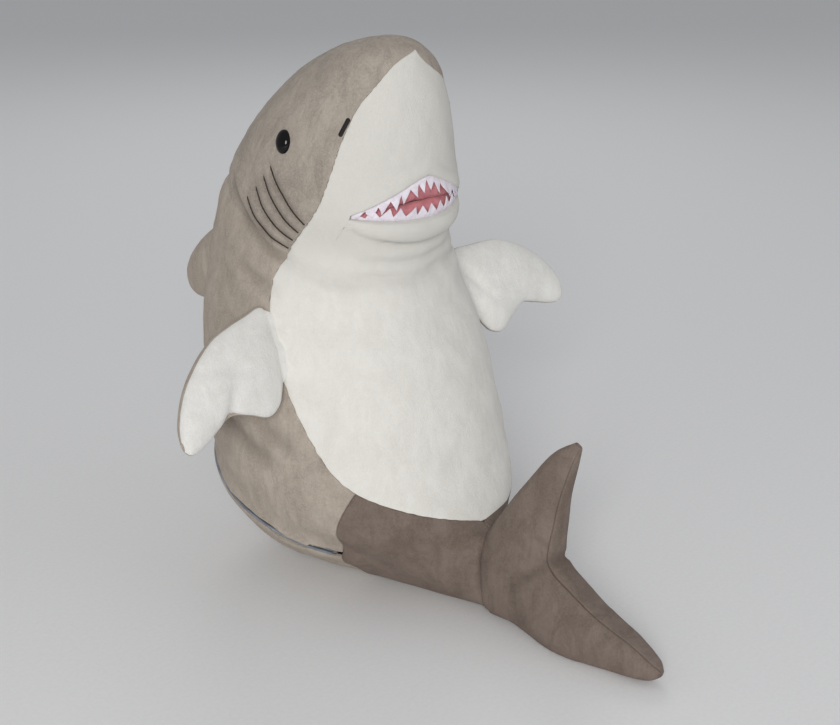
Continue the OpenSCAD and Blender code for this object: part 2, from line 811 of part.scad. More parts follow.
// Dorsal fin: out from the back and down along it
DORSAL = [
    [1.8, -42, 1.8, 42, 1.6],
    [4, -43, 4, 44, 5.4],
    [8, -41, 8, 45, 7],
    [22, -33, 20, 45, dorsal_puff],
    [40, -22, 36, 47, dorsal_puff],
    [56, -11, 52, 49, dorsal_puff * 0.9],
    [70, 1, 66, 51, dorsal_puff * 0.8],
    [81, 14, 77, 51, dorsal_puff * 0.65],
    [88, 26, 85, 47, dorsal_puff * 0.45],
    [90.5, 33, 89, 40, 1.6]
];
dorsal_root = [0, 102.5, 212];
dorsal_along = unit([0, 5, -92]);
dorsal_frame = [dorsal_root, cross([1, 0, 0], dorsal_along), dorsal_along, [1, 0, 0]];

module dorsal_panel_left() {
    color(grey) toy() fin_panel(DORSAL, dorsal_frame, 1);
}

module dorsal_panel_right() {
    color(grey) toy() fin_panel(DORSAL, dorsal_frame, -1);
}

module dorsal_stuffing() {
    color(fibre) toy() fin_stuffing(DORSAL, dorsal_frame);
}

// Tail fin in the toy's middle plane, from the tip of the upper lobe past the root to the lower tip.
// Each station has its edge towards the root (forward, up) and its edge at the rear of the fin.
TAIL_FIN = [
    [229, 153, 234, 150, 1.8],
    [212, 141, 229, 133, tail_fin_puff * 0.42],
    [194, 118, 223, 110, tail_fin_puff * 0.62],
    [177, 90, 220, 88, tail_fin_puff * 0.8],
    [166, 64, 218, 72, tail_fin_puff * 0.94],
    [162.5, 36, 219, 63, tail_fin_puff],
    [163, 6, 225, 56, tail_fin_puff * 0.94],
    [190, 2.5, 238, 48, tail_fin_puff * 0.8],
    [222, 1, 254, 39, tail_fin_puff * 0.72],
    [252, 0.5, 270, 32, tail_fin_puff * 0.64],
    [280, 0.8, 287, 26, tail_fin_puff * 0.54],
    [300, 3, 302, 18, tail_fin_puff * 0.4],
    [308, 7, 310, 12, 1.8]
];
tail_fin_frame = [[0, 0, 0], [0, -1, 0], [0, 0, 1], [1, 0, 0]];

module tail_fin_panel_left() {
    color(taupe) toy() fin_panel(TAIL_FIN, tail_fin_frame, 1);
}

module tail_fin_panel_right() {
    color(taupe) toy() fin_panel(TAIL_FIN, tail_fin_frame, -1);
}

module tail_fin_stuffing() {
    color(fibre) toy() fin_stuffing(TAIL_FIN, tail_fin_frame);
}

side_panel_right();
side_panel_left();
belly_panel();
base_panel();
tail_panel_right();
tail_panel_left();
body_pod();
tail_stuffing();
zip_tape_upper();
zip_tape_lower();
zip_coil_upper();
zip_coil_lower();
zip_end_stops();
zip_slider();
zip_pull();
head_panel_right();
head_panel_left();
face_panel();
head_pod();
eye_right();
eye_left();
eye_washers();
nostril_right();
nostril_left();
gill_stitches_right();
gill_stitches_left();
upper_teeth();
upper_mouth_lining();
chin_panel();
jaw_stuffing();
lower_teeth();
lower_mouth_lining();
fin_right_under_panel();
fin_right_top_panel();
fin_right_stuffing();
fin_left_under_panel();
fin_left_top_panel();
fin_left_stuffing();
dorsal_panel_right();
dorsal_panel_left();
dorsal_stuffing();
tail_fin_panel_right();
tail_fin_panel_left();
tail_fin_stuffing();
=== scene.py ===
"""Looks of the plush shark: panels of plush with sewn seams, felt teeth, safety eyes and a coil zip.

The panels follow the same rings as the part's own drawing, in its millimetres, and each is a fine
mesh with its creases and its rolled, sewn edges. to_frame() brings them to the frame, in metres.
"""

import math

import bmesh
import bpy
import numpy as np
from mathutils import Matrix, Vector


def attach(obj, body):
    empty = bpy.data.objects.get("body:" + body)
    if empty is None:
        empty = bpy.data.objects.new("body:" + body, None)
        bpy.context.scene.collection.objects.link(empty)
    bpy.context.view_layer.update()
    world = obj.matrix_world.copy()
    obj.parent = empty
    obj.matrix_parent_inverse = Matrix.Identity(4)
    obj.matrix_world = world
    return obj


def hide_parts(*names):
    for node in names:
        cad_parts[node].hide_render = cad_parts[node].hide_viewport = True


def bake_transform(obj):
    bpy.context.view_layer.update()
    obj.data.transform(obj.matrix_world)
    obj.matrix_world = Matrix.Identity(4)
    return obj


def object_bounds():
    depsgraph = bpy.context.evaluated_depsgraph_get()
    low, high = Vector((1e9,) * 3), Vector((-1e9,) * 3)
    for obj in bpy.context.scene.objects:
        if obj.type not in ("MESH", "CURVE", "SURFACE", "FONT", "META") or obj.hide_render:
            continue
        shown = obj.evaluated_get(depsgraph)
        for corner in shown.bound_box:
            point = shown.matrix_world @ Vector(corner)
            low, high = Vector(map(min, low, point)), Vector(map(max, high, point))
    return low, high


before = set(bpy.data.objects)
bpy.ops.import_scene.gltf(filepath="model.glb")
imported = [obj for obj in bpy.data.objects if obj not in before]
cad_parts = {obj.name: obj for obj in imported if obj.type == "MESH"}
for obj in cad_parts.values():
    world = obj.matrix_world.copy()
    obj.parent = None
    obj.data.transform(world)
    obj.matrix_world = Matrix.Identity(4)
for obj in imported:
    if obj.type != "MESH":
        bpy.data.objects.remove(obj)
cad_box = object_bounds()

# ---- The drawing: its size and place come from the frame ----

DESIGN_HEIGHT = 402.0
MID_Y = -57.7
SCALE = cad_box[1].z / DESIGN_HEIGHT
FLOOR = -0.3

# Each ring: back (y, z), belly (y, z) and half width
RINGS = np.array([
    [-76, 397, -78, 395, 1],
    [-50, 402, -83, 379, 26],
    [-14, 394, -87, 358, 46],
    [24, 374, -89, 334, 61],
    [54, 347, -90, 310, 71],
    [76, 318, -92, 283, 78],
    [90, 290, -78, 250, 83],
    [98, 256, -84, 218, 92],
    [103, 214, -103, 176, 104],
    [103, 165, -117, 134, 110],
    [98, 108, -127, 102, 112],
    [85, 60, -136, 84, 108],
    [56, 22, -143, 73, 95],
    [5, 1, -147, 67, 71],
    [-55, -3, -151, 64, 48],
    [-110, -2, -155, 63, 32],
    [-158, 3, -160, 62, 22],
], float)
LAST_RING = len(RINGS) - 1.0
# Angle of the seam between white and grey plush from the middle of the belly, ring by ring
SEAM_ANGLES = np.array([40, 49, 59, 58, 57, 60, 65, 72, 69, 60, 48, 29, 13, 1, 0, 0, 0], float)
# The white is turned to the toy's left at the tip of the snout, and is wider on its left over the seat.
TIP_TURN = 19
SEAT_WIDER = 24
FIRST_RING = 0.02
SNOUT_TIP = (0.0, -77.0, 396.3)
BELLY_END = 12.9

ZIP_R = 107.0
ZIP_Y = -5.0
ZIP_Z = 67.0
ZIP_TILT = math.radians(20)
ZIP_HALF_ANGLE = 134.0
PINCH_ABOVE = 18.0
PINCH_BELOW = 10.0
ZIP_GROOVE = 2.3

NECK_Z = 272.0
NECK_TILT = math.radians(23)

MOUTH_CORNER = 0.73
UPPER_LIP_TOP = 3.96
CORNER_RING = 5.0
LOWER_LIP_RING = 5.07
RING_PITCH = 27.0
TEETH_SPAN = 0.725
LINING_SPAN = 0.755
FOLD_HALF_WIDTH = 48.0

TAIL_SEAM_Y = -63.0
TAIL_SEAM_LEAN = 0.345


def to_frame(p):
    p = np.asarray(p, float)
    return (p - [0, MID_Y, 0]) * SCALE


# ---- Curves and surfaces, on arrays of places ----


def curve(rows, t):
    """Smooth curve through the rows, at row numbers that may be fractions."""
    t = np.asarray(t, float)
    last = len(rows) - 1
    i = np.clip(np.floor(t).astype(int), 0, last - 1)
    s = t - i
    b = rows[i]
    c = rows[i + 1]
    a = np.where(_like(i > 0, b), rows[np.maximum(i - 1, 0)], 2 * b - c)
    d = np.where(_like(i + 2 <= last, b), rows[np.minimum(i + 2, last)], 2 * c - b)
    s = _like(s, b)
    return 0.5 * (2 * b + (c - a) * s + (2 * a - 5 * b + 4 * c - d) * s**2 + (3 * b - a - 3 * c + d) * s**3)


def _like(value, rows):
    return value[..., None] if rows.ndim > value.ndim else value


def unit(v):
    return v / np.maximum(np.linalg.norm(v, axis=-1, keepdims=True), 1e-9)


def ramp(x, x0, x1):
    return np.clip((x - x0) / (x1 - x0), 0, 1)


def smooth(x, x0, x1):
    t = ramp(x, x0, x1)
    return t * t * (3 - 2 * t)


def hump(x, middle, width):
    return np.exp(-(((x - middle) / width) ** 2))


def ring_point(t, angle):
    """Place on a ring, at an angle in degrees from the belly towards the toy's left."""
    r = curve(RINGS, t)
    a = np.radians(angle)
    along = np.cos(a)
    y = (r[..., 0] + r[..., 2]) / 2 + (r[..., 2] - r[..., 0]) / 2 * along
    z = (r[..., 1] + r[..., 3]) / 2 + (r[..., 3] - r[..., 1]) / 2 * along
    return np.stack([r[..., 4] * np.sin(a), y, z], -1)


def zip_local(p):
    y = p[..., 1] - ZIP_Y
    z = p[..., 2] - ZIP_Z
    c = math.cos(ZIP_TILT)
    s = math.sin(ZIP_TILT)
    return np.stack([p[..., 0], y * c + z * s, z * c - y * s], -1)


def zip_world(q):
    c = math.cos(ZIP_TILT)
    s = math.sin(ZIP_TILT)
    y = ZIP_Y + q[..., 1] * c - q[..., 2] * s
    z = ZIP_Z + q[..., 1] * s + q[..., 2] * c
    return np.stack([q[..., 0], y, z], -1)


def pinched(p):
    """The zip draws the skin in or out to its own curve."""
    q = zip_local(p)
    r = np.hypot(q[..., 0], q[..., 1])
    width = np.where(q[..., 2] > 0, PINCH_ABOVE, PINCH_BELOW)
    near = hump(q[..., 2], 0, width) * smooth(q[..., 1], -100, -78)
    k = 1 + (ZIP_R / np.maximum(r, 1) - 1) * near
    moved = zip_world(np.stack([q[..., 0] * k, q[..., 1] * k, q[..., 2]], -1))
    return np.where((r < 60)[..., None], p, moved)


def skin_point(t, angle):
    p = pinched(ring_point(t, angle))
    p[..., 2] = np.maximum(p[..., 2], FLOOR)
    return p


def skin_normal(t, angle):
    d = 0.03
    along = pinched(ring_point(t + d, angle)) - pinched(ring_point(np.maximum(t - d, 0), angle))
    across = pinched(ring_point(t, angle + 1)) - pinched(ring_point(t, angle - 1))
    return unit(np.cross(along, across))


def under_skin(t, angle, depth):
    t, angle = np.broadcast_arrays(np.asarray(t, float), np.asarray(angle, float))
    return pinched(ring_point(t, angle)) - skin_normal(t, angle) * np.asarray(depth, float)[..., None]


def seam_angle(t, side):
    """The seam on one side, with the slight unevenness of pile that is combed over it."""
    t = np.asarray(t, float)
    left = np.asarray(side) > 0
    tip = TIP_TURN * smooth(t, 2, 0)
    seat = SEAT_WIDER * smooth(t, 9, 12) * smooth(t, 13, 12)
    angle = curve(SEAM_ANGLES, t) + np.where(left, seat - tip, tip)
    uneven = 0.16 * np.sin(t * 31) + 0.12 * np.sin(t * 53 + 1) + 0.1 * np.sin(t * 97 + 2)
    return np.maximum(0, angle + uneven * smooth(angle, 2, 12))


def grey_angle(side):
    """Angle on one side's grey: share 0 is the white seam and share 1 the middle of the back."""

    def angle(t, share):
        a = seam_angle(t, side)
        return side * (a + (180 - a) * share)

    return angle


def white_angle(t, share):
    """Share -1 is the right seam and share 1 the left one."""
    return share * np.maximum(seam_angle(t, share), 0.2)


def crossing(test, low, high, steps=26):
    """Ring number on each line at which test stops being above zero."""
    for _ in range(steps):
        mid = (low + high) / 2
        above = test(mid) > 0
        low = np.where(above, mid, low)
        high = np.where(above, high, mid)
    return (low + high) / 2


def above_neck(p):
    return (p[..., 2] - NECK_Z) * math.cos(NECK_TILT) - p[..., 1] * math.sin(NECK_TILT)


def neck_ring(angle, share):
    full = np.full(share.shape, 1.0)
    return crossing(lambda t: above_neck(skin_point(t, angle(t, share))), 4 * full, 8 * full)


def tail_seam_ring(share, angle):
    full = np.full(share.shape, 1.0)

    def behind(t):
        p = skin_point(t, angle(t, share))
        return p[..., 1] - TAIL_SEAM_Y + TAIL_SEAM_LEAN * p[..., 2]

    return crossing(behind, 8 * full, LAST_RING * full)


def zip_ring(share, angle, gap):
    full = np.full(share.shape, 1.0)

    def above(t):
        return zip_local(skin_point(t, angle(t, share)))[..., 2] - gap

    return crossing(above, 7 * full, LAST_RING * full)


def upper_lip(s):
    return UPPER_LIP_TOP + (CORNER_RING - UPPER_LIP_TOP) * np.minimum(1, np.abs(s) / MOUTH_CORNER) ** 1.3


def below_lip(s):
    return np.cos(np.pi / 2 * np.minimum(1, np.abs(s) / MOUTH_CORNER))


# ---- Creases and folds of the skin ----

GILL_COUNT = 4
GILL_TOP = (4.4, 95)
GILL_FOOT = 5.4
GILL_BOW = 0.06


def gill_path(k):
    """Gill line k bows from its top down to its foot beside the white seam, behind the line before."""
    top = np.array(GILL_TOP) + k * np.array([0.3, 2])
    ring = GILL_FOOT + 0.2 * k
    foot = np.array([ring, float(seam_angle(ring, -1)) + 1.2])
    bow = np.array([GILL_BOW + 0.02 * k, 0])
    return [top, top + (foot - top) / 3 + bow, foot + (top - foot) / 3 + bow, foot]


GILLS = [gill_path(k) for k in range(GILL_COUNT)]
GILL_DEPTH = 2.4
# The crease at the neck, the throat's folds and the side's: [ring, angle] points, depth and width
FOLDS = [
    ([[5.2, 122], [5.5, 108], [5.8, 94], [6.1, 78], [6.3, 64]], 4.2, 3.6),
    ([[6.2, 72], [6.4, 55], [6.5, 38], [6.4, 20], [6.5, 0], [6.5, -20]], 3.0, 5),
    ([[6.0, 30], [6.0, 10], [6.0, -10], [6.0, -30]], 1.8, 4),
    ([[6.7, 92], [6.8, 84], [6.9, 76], [7.0, 68]], 2.6, 4),
    ([[6.9, 108], [7.1, 98], [7.3, 88]], 1.5, 6),
    ([[6.5, 112], [6.6, 102], [6.6, 92]], 1.3, 6),
    ([[8.5, 104], [8.3, 96], [8.1, 88]], 1.4, 6),
    ([[9.2, 104], [9.4, 94], [9.6, 84], [9.8, 74]], 4.2, 7),
    ([[9.1, 80], [9.3, 72], [9.5, 64]], 2.8, 6),
    ([[10.2, 112], [10.5, 98], [10.4, 84]], 1.0, 9),
]
EYE_RING = 3.8
EYE_ANGLE = 92
EYE_HALF = (6.4, 8.5)
EYE_DOME = 4.4


def path_points(path, steps):
    rows = np.array(path, float)
    k = np.linspace(0, len(rows) - 1, steps + 1)
    return curve(rows, k)


def path_drop(p, path, depth, width, steps=14):
    """How far the skin sinks beside a crease."""
    spots = path_points(path, steps)
    line = skin_point(spots[:, 0], spots[:, 1])
    best = np.full(p.shape[:-1], 1e9)
    share = np.zeros(p.shape[:-1])
    for k in range(steps):
        a = line[k]
        d = line[k + 1] - a
        u = np.clip(((p - a) @ d) / (d @ d), 0, 1)
        away = np.linalg.norm(p - a - u[..., None] * d, axis=-1)
        nearer = away < best
        best = np.where(nearer, away, best)
        share = np.where(nearer, (k + u) / steps, share)
    return depth * hump(best, 0, width) * np.sin(np.pi * np.clip(share, 0.02, 0.98)) ** 0.4


def lumps(p, seed, length, count=7):
    """Uneven stuffing: a sum of seeded waves."""
    rng = np.random.default_rng(seed)
    total = np.zeros(p.shape[:-1])
    for _ in range(count):
        way = unit(rng.normal(size=3)) * 2 * np.pi / (length * rng.uniform(0.7, 1.5))
        total += np.sin(p @ way + rng.uniform(0, 2 * np.pi))
    return total / math.sqrt(count)


def skin_relief(place_on_skin, t, angle):
    """Height of the soft skin over its plain surface, and how much painted shade each point gets down in a
    crease.
    """
    side = np.abs(angle)
    white = smooth(seam_angle(t, angle) - side, -4, 4)
    p = place_on_skin * np.array([1.0, 1, 1])
    flat = smooth(p[..., 2], 1, 12)
    height = (0.75 * lumps(p, 11, 75) + 0.3 * lumps(p, 12, 28) + 0.12 * lumps(p, 13, 11)) * flat
    p[..., 0] = np.abs(p[..., 0])
    c = above_neck(p)
    height -= (1.0 + 0.6 * smooth(side, 95, 130)) * hump(c, 0, 7) * (1 - white)
    height += 1.0 * hump(c, 13, 9) * (1 - white) + 0.8 * hump(c, -14, 10)
    # crease gathers painted shade: how much darker the plush is painted in the gills, the folds and under
    # the lower lip.
    crease = np.zeros(height.shape)
    for path in GILLS:
        drop = path_drop(p, path, GILL_DEPTH, 2.7)
        height += path_drop(p, path, 1.3, 8) - drop
        crease += 0.25 * drop
    for path, depth, width in FOLDS:
        drop = path_drop(p, path, depth, width)
        height += path_drop(p, path, 0.4 * depth, 2.6 * width) - drop
        crease += 0.16 * drop * (1 - 0.6 * white)
    eye = skin_point(np.array(EYE_RING), np.array(EYE_ANGLE))
    height -= 1.5 * hump(np.linalg.norm(p - eye, axis=-1), 0, 11)
    share = angle / np.maximum(seam_angle(t, angle), 0.2)
    chin = below_lip(share)
    roll = ramp(t, LOWER_LIP_RING, LOWER_LIP_RING + 0.2 + 0.34 * chin)
    front = white * (t > LOWER_LIP_RING - 0.02)
    height += 4.6 * np.sin(np.pi * roll) ** 0.6 * chin**0.6 * front * (roll < 1)
    under_lip = hump(t, LOWER_LIP_RING + 0.21 + 0.34 * chin, 0.06) * smooth(chin, 0.45, 0.9) * front
    height -= 2.6 * under_lip
    crease += 0.3 * under_lip
    height += 1.8 * hump(t, LOWER_LIP_RING + 0.5 + 0.34 * chin, 0.16) * chin * front
    height += 1.6 * hump(t, upper_lip(share) - 0.2, 0.22) * white * chin**0.5
    return height, np.clip(crease, 0, 1)


# ---- Meshes ----


def rolled(away, radius):
    """Depth of a sewn edge: it turns under in a quarter circle."""
    d = np.clip(away, 0, radius)
    return radius - np.sqrt(np.maximum(radius**2 - (radius - d) ** 2, 0))


def steps_along(length, pitch, near_start, near_end):
    """Shares from 0 to 1, about a pitch apart, closer together at a sewn edge."""
    fine = [0.0, 0.35, 0.9, 1.7, 2.8]
    start = [d / length for d in fine] if near_start else [0.0]
    end = [1 - d / length for d in reversed(fine)] if near_end else [1.0]
    count = max(2, int(round(length * (end[0] - start[-1]) / pitch)))
    return np.array(start[:-1] + list(np.linspace(start[-1], end[0], count + 1)) + end[1:])


def edge_distance(grid, axis, from_end):
    """Distance of each point from one edge of its grid, along the grid's own lines."""
    lines = np.moveaxis(grid, axis, 0)
    if from_end:
        lines = lines[::-1]
    gaps = np.linalg.norm(np.diff(lines, axis=0), axis=-1)
    far = np.concatenate([np.zeros((1,) + gaps.shape[1:]), np.cumsum(gaps, 0)])
    if from_end:
        far = far[::-1]
    return np.moveaxis(far, 0, axis)


def sewn_grid(grid, normals, edges, limit=None):
    """Rolls the chosen edges under and adds a turned-in flange to each. edges has the four radii:
    first row, last row, first column, last column; 0 leaves an edge alone."""
    drop = np.zeros(grid.shape[:2])
    for radius, axis, from_end in zip(edges, (0, 0, 1, 1), (False, True, False, True)):
        if radius:
            drop = np.maximum(drop, rolled(edge_distance(grid, axis, from_end), radius))
    out = grid - normals * drop[..., None]
    for radius, axis, from_end in zip(edges, (0, 0, 1, 1), (False, True, False, True)):
        if radius:
            out, normals = with_flange(out, normals, axis, from_end, 1.5 + radius)
    if limit is not None:
        out[..., 2] = np.maximum(out[..., 2], limit)
    return out


def with_flange(grid, normals, axis, from_end, depth):
    k = -1 if from_end else 0
    edge = np.take(grid, [k], axis)
    n = np.take(normals, [k], axis)
    flange = edge - n * depth
    parts = (grid, flange) if from_end else (flange, grid)
    return np.concatenate(parts, axis), np.concatenate((normals, n) if from_end else (n, normals), axis)


def grid_faces(rows, cols, offset=0, around=False):
    """Quads of a grid of vertices. around closes it across its columns."""
    faces = []
    wide = cols if around else cols - 1
    for i in range(rows - 1):
        for j in range(wide):
            a = offset + i * cols + j
            b = offset + i * cols + (j + 1) % cols
            faces.append((a, b, b + cols, a + cols))
    return faces


def make_mesh(name, points, faces, material, outward=None, crease=None):
    """A mesh object from points of the drawing. Its faces look away from the place outward, inside it.
    crease is how deep in a fold each point lies, from 0 to 1, and sets how much painted shade the plush gets
    there."""
    mesh = bpy.data.meshes.new(name)
    mesh.from_pydata(to_frame(points).tolist(), [], faces)
    mesh.update()
    if outward is not None:
        centres = np.array([f.center for f in mesh.polygons])
        normals = np.array([f.normal for f in mesh.polygons])
        if ((centres - to_frame(outward)) * normals).sum() < 0:
            mesh.flip_normals()
    mesh.polygons.foreach_set("use_smooth", [True] * len(mesh.polygons))
    mesh.materials.append(material)
    if crease is not None:
        mesh.attributes.new("crease", "FLOAT", "POINT").data.foreach_set("value", crease)
    piece = bpy.data.objects.new(name, mesh)
    bpy.context.scene.collection.objects.link(piece)
    return piece


def skin_mesh(name, patches, material, ring):
    """One piece from patches of skin, each a grid and the painted shade of its creases."""
    points, faces = join_grids([grid for grid, _ in patches])
    crease = np.concatenate([c.reshape(-1) for _, c in patches])
    piece = make_mesh(name, points, faces, material, inside(ring), crease)
    weld(piece)
    return piece


def join_grids(grids, around=False):
    """Points and faces of several grids in one mesh."""
    points = []
    faces = []
    total = 0
    for g in grids:
        rows, cols = g.shape[:2]
        faces += grid_faces(rows, cols, total, around)
        points.append(g.reshape(-1, 3))
        total += rows * cols
    return np.concatenate(points), faces


def weld(piece, distance=0.00002):
    """Joins the patches of one mesh where their edges meet."""
    work = bmesh.new()
    work.from_mesh(piece.data)
    bmesh.ops.remove_doubles(work, verts=work.verts, dist=distance)
    work.to_mesh(piece.data)
    work.free()
    piece.data.update()


def mirrored(grid):
    return grid * np.array([-1.0, 1.0, 1.0])


PITCH = 2.3
HEAD_PITCH = 0.62 * PITCH


def skin_patch(shares, rows, start, end, angle, edges, fit=None):
    """Grid of the soft skin between two ring numbers on each line of shares. fit moves it along the skin."""
    first = start(shares)
    last = end(shares)
    t = first[None, :] + (last - first)[None, :] * rows[:, None]
    a = angle(t, np.broadcast_to(shares[None, :], t.shape))
    base = skin_point(t, a)
    if fit is not None:
        base = fit(base)
    normals = skin_normal(t, a)
    height, crease = skin_relief(base, t, a)
    grid = base + normals * height[..., None]
    if first.max() <= FIRST_RING:
        grid[0] = SNOUT_TIP
    grid = sewn_grid(grid, normals, edges, FLOOR if base[..., 2].min() < 3 else None)
    sides = [int(bool(r)) for r in edges]
    return grid, np.pad(crease, (sides[:2], sides[2:]), mode="edge")


# ---- Materials: plush, felt, lining, thread, plastic and metal ----


def new_material(name):
    material = bpy.data.materials.new(name)
    material.use_nodes = True
    tree = material.node_tree
    shader = tree.nodes["Principled BSDF"]
    where = tree.nodes.new("ShaderNodeTexCoord")
    return material, tree, shader, where


def noise(tree, where, scale, detail=3.0, rough=0.55, distortion=0.0, stretch=None):
    node = tree.nodes.new("ShaderNodeTexNoise")
    node.inputs["Scale"].default_value = scale
    node.inputs["Detail"].default_value = detail
    node.inputs["Roughness"].default_value = rough
    node.inputs["Distortion"].default_value = distortion
    source = where.outputs["Object"]
    if stretch is not None:
        mapping = tree.nodes.new("ShaderNodeMapping")
        mapping.inputs["Scale"].default_value = stretch[0]
        mapping.inputs["Rotation"].default_value = stretch[1]
        tree.links.new(source, mapping.inputs["Vector"])
        source = mapping.outputs["Vector"]
    tree.links.new(source, node.inputs["Vector"])
    return node.outputs["Fac"]


def spread(tree, value, low, high, bottom=0.0, top=1.0):
    node = tree.nodes.new("ShaderNodeMapRange")
    node.inputs["From Min"].default_value = low
    node.inputs["From Max"].default_value = high
    node.inputs["To Min"].default_value = bottom
    node.inputs["To Max"].default_value = top
    tree.links.new(value, node.inputs["Value"])
    return node.outputs["Result"]


def blend_colours(tree, factor, first, second, way="MIX"):
    node = tree.nodes.new("ShaderNodeMix")
    node.data_type = "RGBA"
    node.blend_type = way
    if isinstance(factor, (int, float)):
        node.inputs["Factor"].default_value = factor
    else:
        tree.links.new(factor, node.inputs["Factor"])
    for socket, value in ((node.inputs["A"], first), (node.inputs["B"], second)):
        if isinstance(value, (tuple, list)):
            socket.default_value = (*value[:3], 1)
        else:
            tree.links.new(value, socket)
    return node.outputs["Result"]


def bumped(tree, shader, heights):
    """A chain of bumps, each (height, strength, distance in metres)."""
    last = None
    for height, strength, distance in heights:
        node = tree.nodes.new("ShaderNodeBump")
        node.inputs["Strength"].default_value = strength
        node.inputs["Distance"].default_value = distance
        tree.links.new(height, node.inputs["Height"])
        if last is not None:
            tree.links.new(last, node.inputs["Normal"])
        last = node.outputs["Normal"]
    tree.links.new(last, shader.inputs["Normal"])


def linear(colour):
    """From screen values of 0 to 255 to linear light."""
    c = np.array(colour, float) / 255
    return tuple(float(v) for v in np.where(c <= 0.04045, c / 12.92, ((c + 0.055) / 1.055) ** 2.4))


def plush(name, light, dark, tint, mottling=0.5, sheen=0.35, ruffle=1.0, high=None):
    """Short, brushed pile: patches of nap that lie different ways, streaks within them and fine tufts.
    It is painted darker as shade down in a fold, and turns partly to a painted shade colour high on the
    toy's head."""
    material, tree, shader, where = new_material(name)
    patches = noise(tree, where, 22, 5, 0.66, 1.4)
    streaks = noise(tree, where, 80, 5, 0.7, 0.8, ((1.0, 1.0, 0.4), (0.3, 0.2, 0.4)))
    tufts = noise(tree, where, 760, 3, 0.75, 0.4)
    pile = noise(tree, where, 2200, 2, 0.6)
    colour = blend_colours(tree, spread(tree, patches, 0.4, 0.62, 0, mottling), light, dark)
    colour = blend_colours(tree, spread(tree, streaks, 0.44, 0.64, 0, mottling), colour, dark)
    colour = blend_colours(tree, spread(tree, tufts, 0.4, 0.66, 0, 0.7 * mottling), colour, tint)
    # Painted shade: above a height the colour turns most of the way to high, a duller copy of the plush.
    if high is not None:
        height = tree.nodes.new("ShaderNodeSeparateXYZ")
        tree.links.new(where.outputs["Object"], height.inputs["Vector"])
        colour = blend_colours(tree, spread(tree, height.outputs["Z"], 0.215, 0.265, 0, 0.8), colour, high)
    # Painted shade: where the crease attribute says a point lies in a fold, the colour goes towards a darker
    # copy of the dark tone.
    fold = tree.nodes.new("ShaderNodeAttribute")
    fold.attribute_name = "crease"
    painted_fold_shade = tuple(0.45 * v for v in dark)
    colour = blend_colours(tree, spread(tree, fold.outputs["Fac"], 0, 1, 0, 0.75), colour, painted_fold_shade)
    tree.links.new(colour, shader.inputs["Base Color"])
    tree.links.new(spread(tree, tufts, 0.3, 0.7, 0.86, 1.0), shader.inputs["Roughness"])
    shader.inputs["Specular IOR Level"].default_value = 0.12
    shader.inputs["Sheen Weight"].default_value = sheen
    shader.inputs["Sheen Roughness"].default_value = 0.45
    shader.inputs["Sheen Tint"].default_value = (*light, 1)
    bumped(tree, shader, [
        (streaks, 0.5 * ruffle, 0.0025),
        (tufts, 0.65 * ruffle, 0.0012),
        (pile, 0.6, 0.0006),
    ])
    return material


def felt_material(name, light, dark):
    material, tree, shader, where = new_material(name)
    cloud = noise(tree, where, 260, 4, 0.6)
    fibres = noise(tree, where, 1500, 4, 0.7, 1.5, ((1.0, 0.35, 1.0), (0.5, 0.2, 0.9)))
    colour = blend_colours(tree, spread(tree, cloud, 0.35, 0.7), light, dark)
    tree.links.new(colour, shader.inputs["Base Color"])
    tree.links.new(spread(tree, fibres, 0.3, 0.7, 0.8, 0.98), shader.inputs["Roughness"])
    shader.inputs["Specular IOR Level"].default_value = 0.15
    shader.inputs["Sheen Weight"].default_value = 0.2
    bumped(tree, shader, [(fibres, 0.5, 0.0004), (cloud, 0.3, 0.0006)])
    return material


def woven_material(name, light, dark, pitch=1100, sheen=0.1):
    """Plain woven or knitted cloth: two crossed sets of threads."""
    material, tree, shader, where = new_material(name)
    threads = []
    for axis in ("X", "Z"):
        wave = tree.nodes.new("ShaderNodeTexWave")
        wave.wave_type = "BANDS"
        wave.bands_direction = axis
        wave.inputs["Scale"].default_value = pitch / 6.3
        wave.inputs["Distortion"].default_value = 0.6
        tree.links.new(where.outputs["Object"], wave.inputs["Vector"])
        threads.append(wave.outputs["Fac"])
    both = tree.nodes.new("ShaderNodeMath")
    both.operation = "MULTIPLY"
    tree.links.new(threads[0], both.inputs[0])
    tree.links.new(threads[1], both.inputs[1])
    cloud = noise(tree, where, 160, 3)
    colour = blend_colours(tree, spread(tree, cloud, 0.35, 0.7), light, dark)
    colour = blend_colours(tree, spread(tree, both.outputs[0], 0, 1, 0, 0.25), colour, dark)
    tree.links.new(colour, shader.inputs["Base Color"])
    tree.links.new(spread(tree, cloud, 0.3, 0.7, 0.7, 0.9), shader.inputs["Roughness"])
    shader.inputs["Specular IOR Level"].default_value = 0.2
    shader.inputs["Sheen Weight"].default_value = sheen
    bumped(tree, shader, [(both.outputs[0], 0.35, 0.0002), (cloud, 0.3, 0.0008)])
    return material


def thread_material(name, light, dark):
    """Twisted sewing thread, with a slight gloss along its strands."""
    material, tree, shader, where = new_material(name)
    strands = noise(tree, where, 1800, 2, 0.6, 2.0)
    colour = blend_colours(tree, spread(tree, strands, 0.35, 0.7), dark, light)
    tree.links.new(colour, shader.inputs["Base Color"])
    tree.links.new(spread(tree, strands, 0.3, 0.7, 0.45, 0.75), shader.inputs["Roughness"])
    shader.inputs["Specular IOR Level"].default_value = 0.3
    bumped(tree, shader, [(strands, 0.5, 0.0003)])
    return material


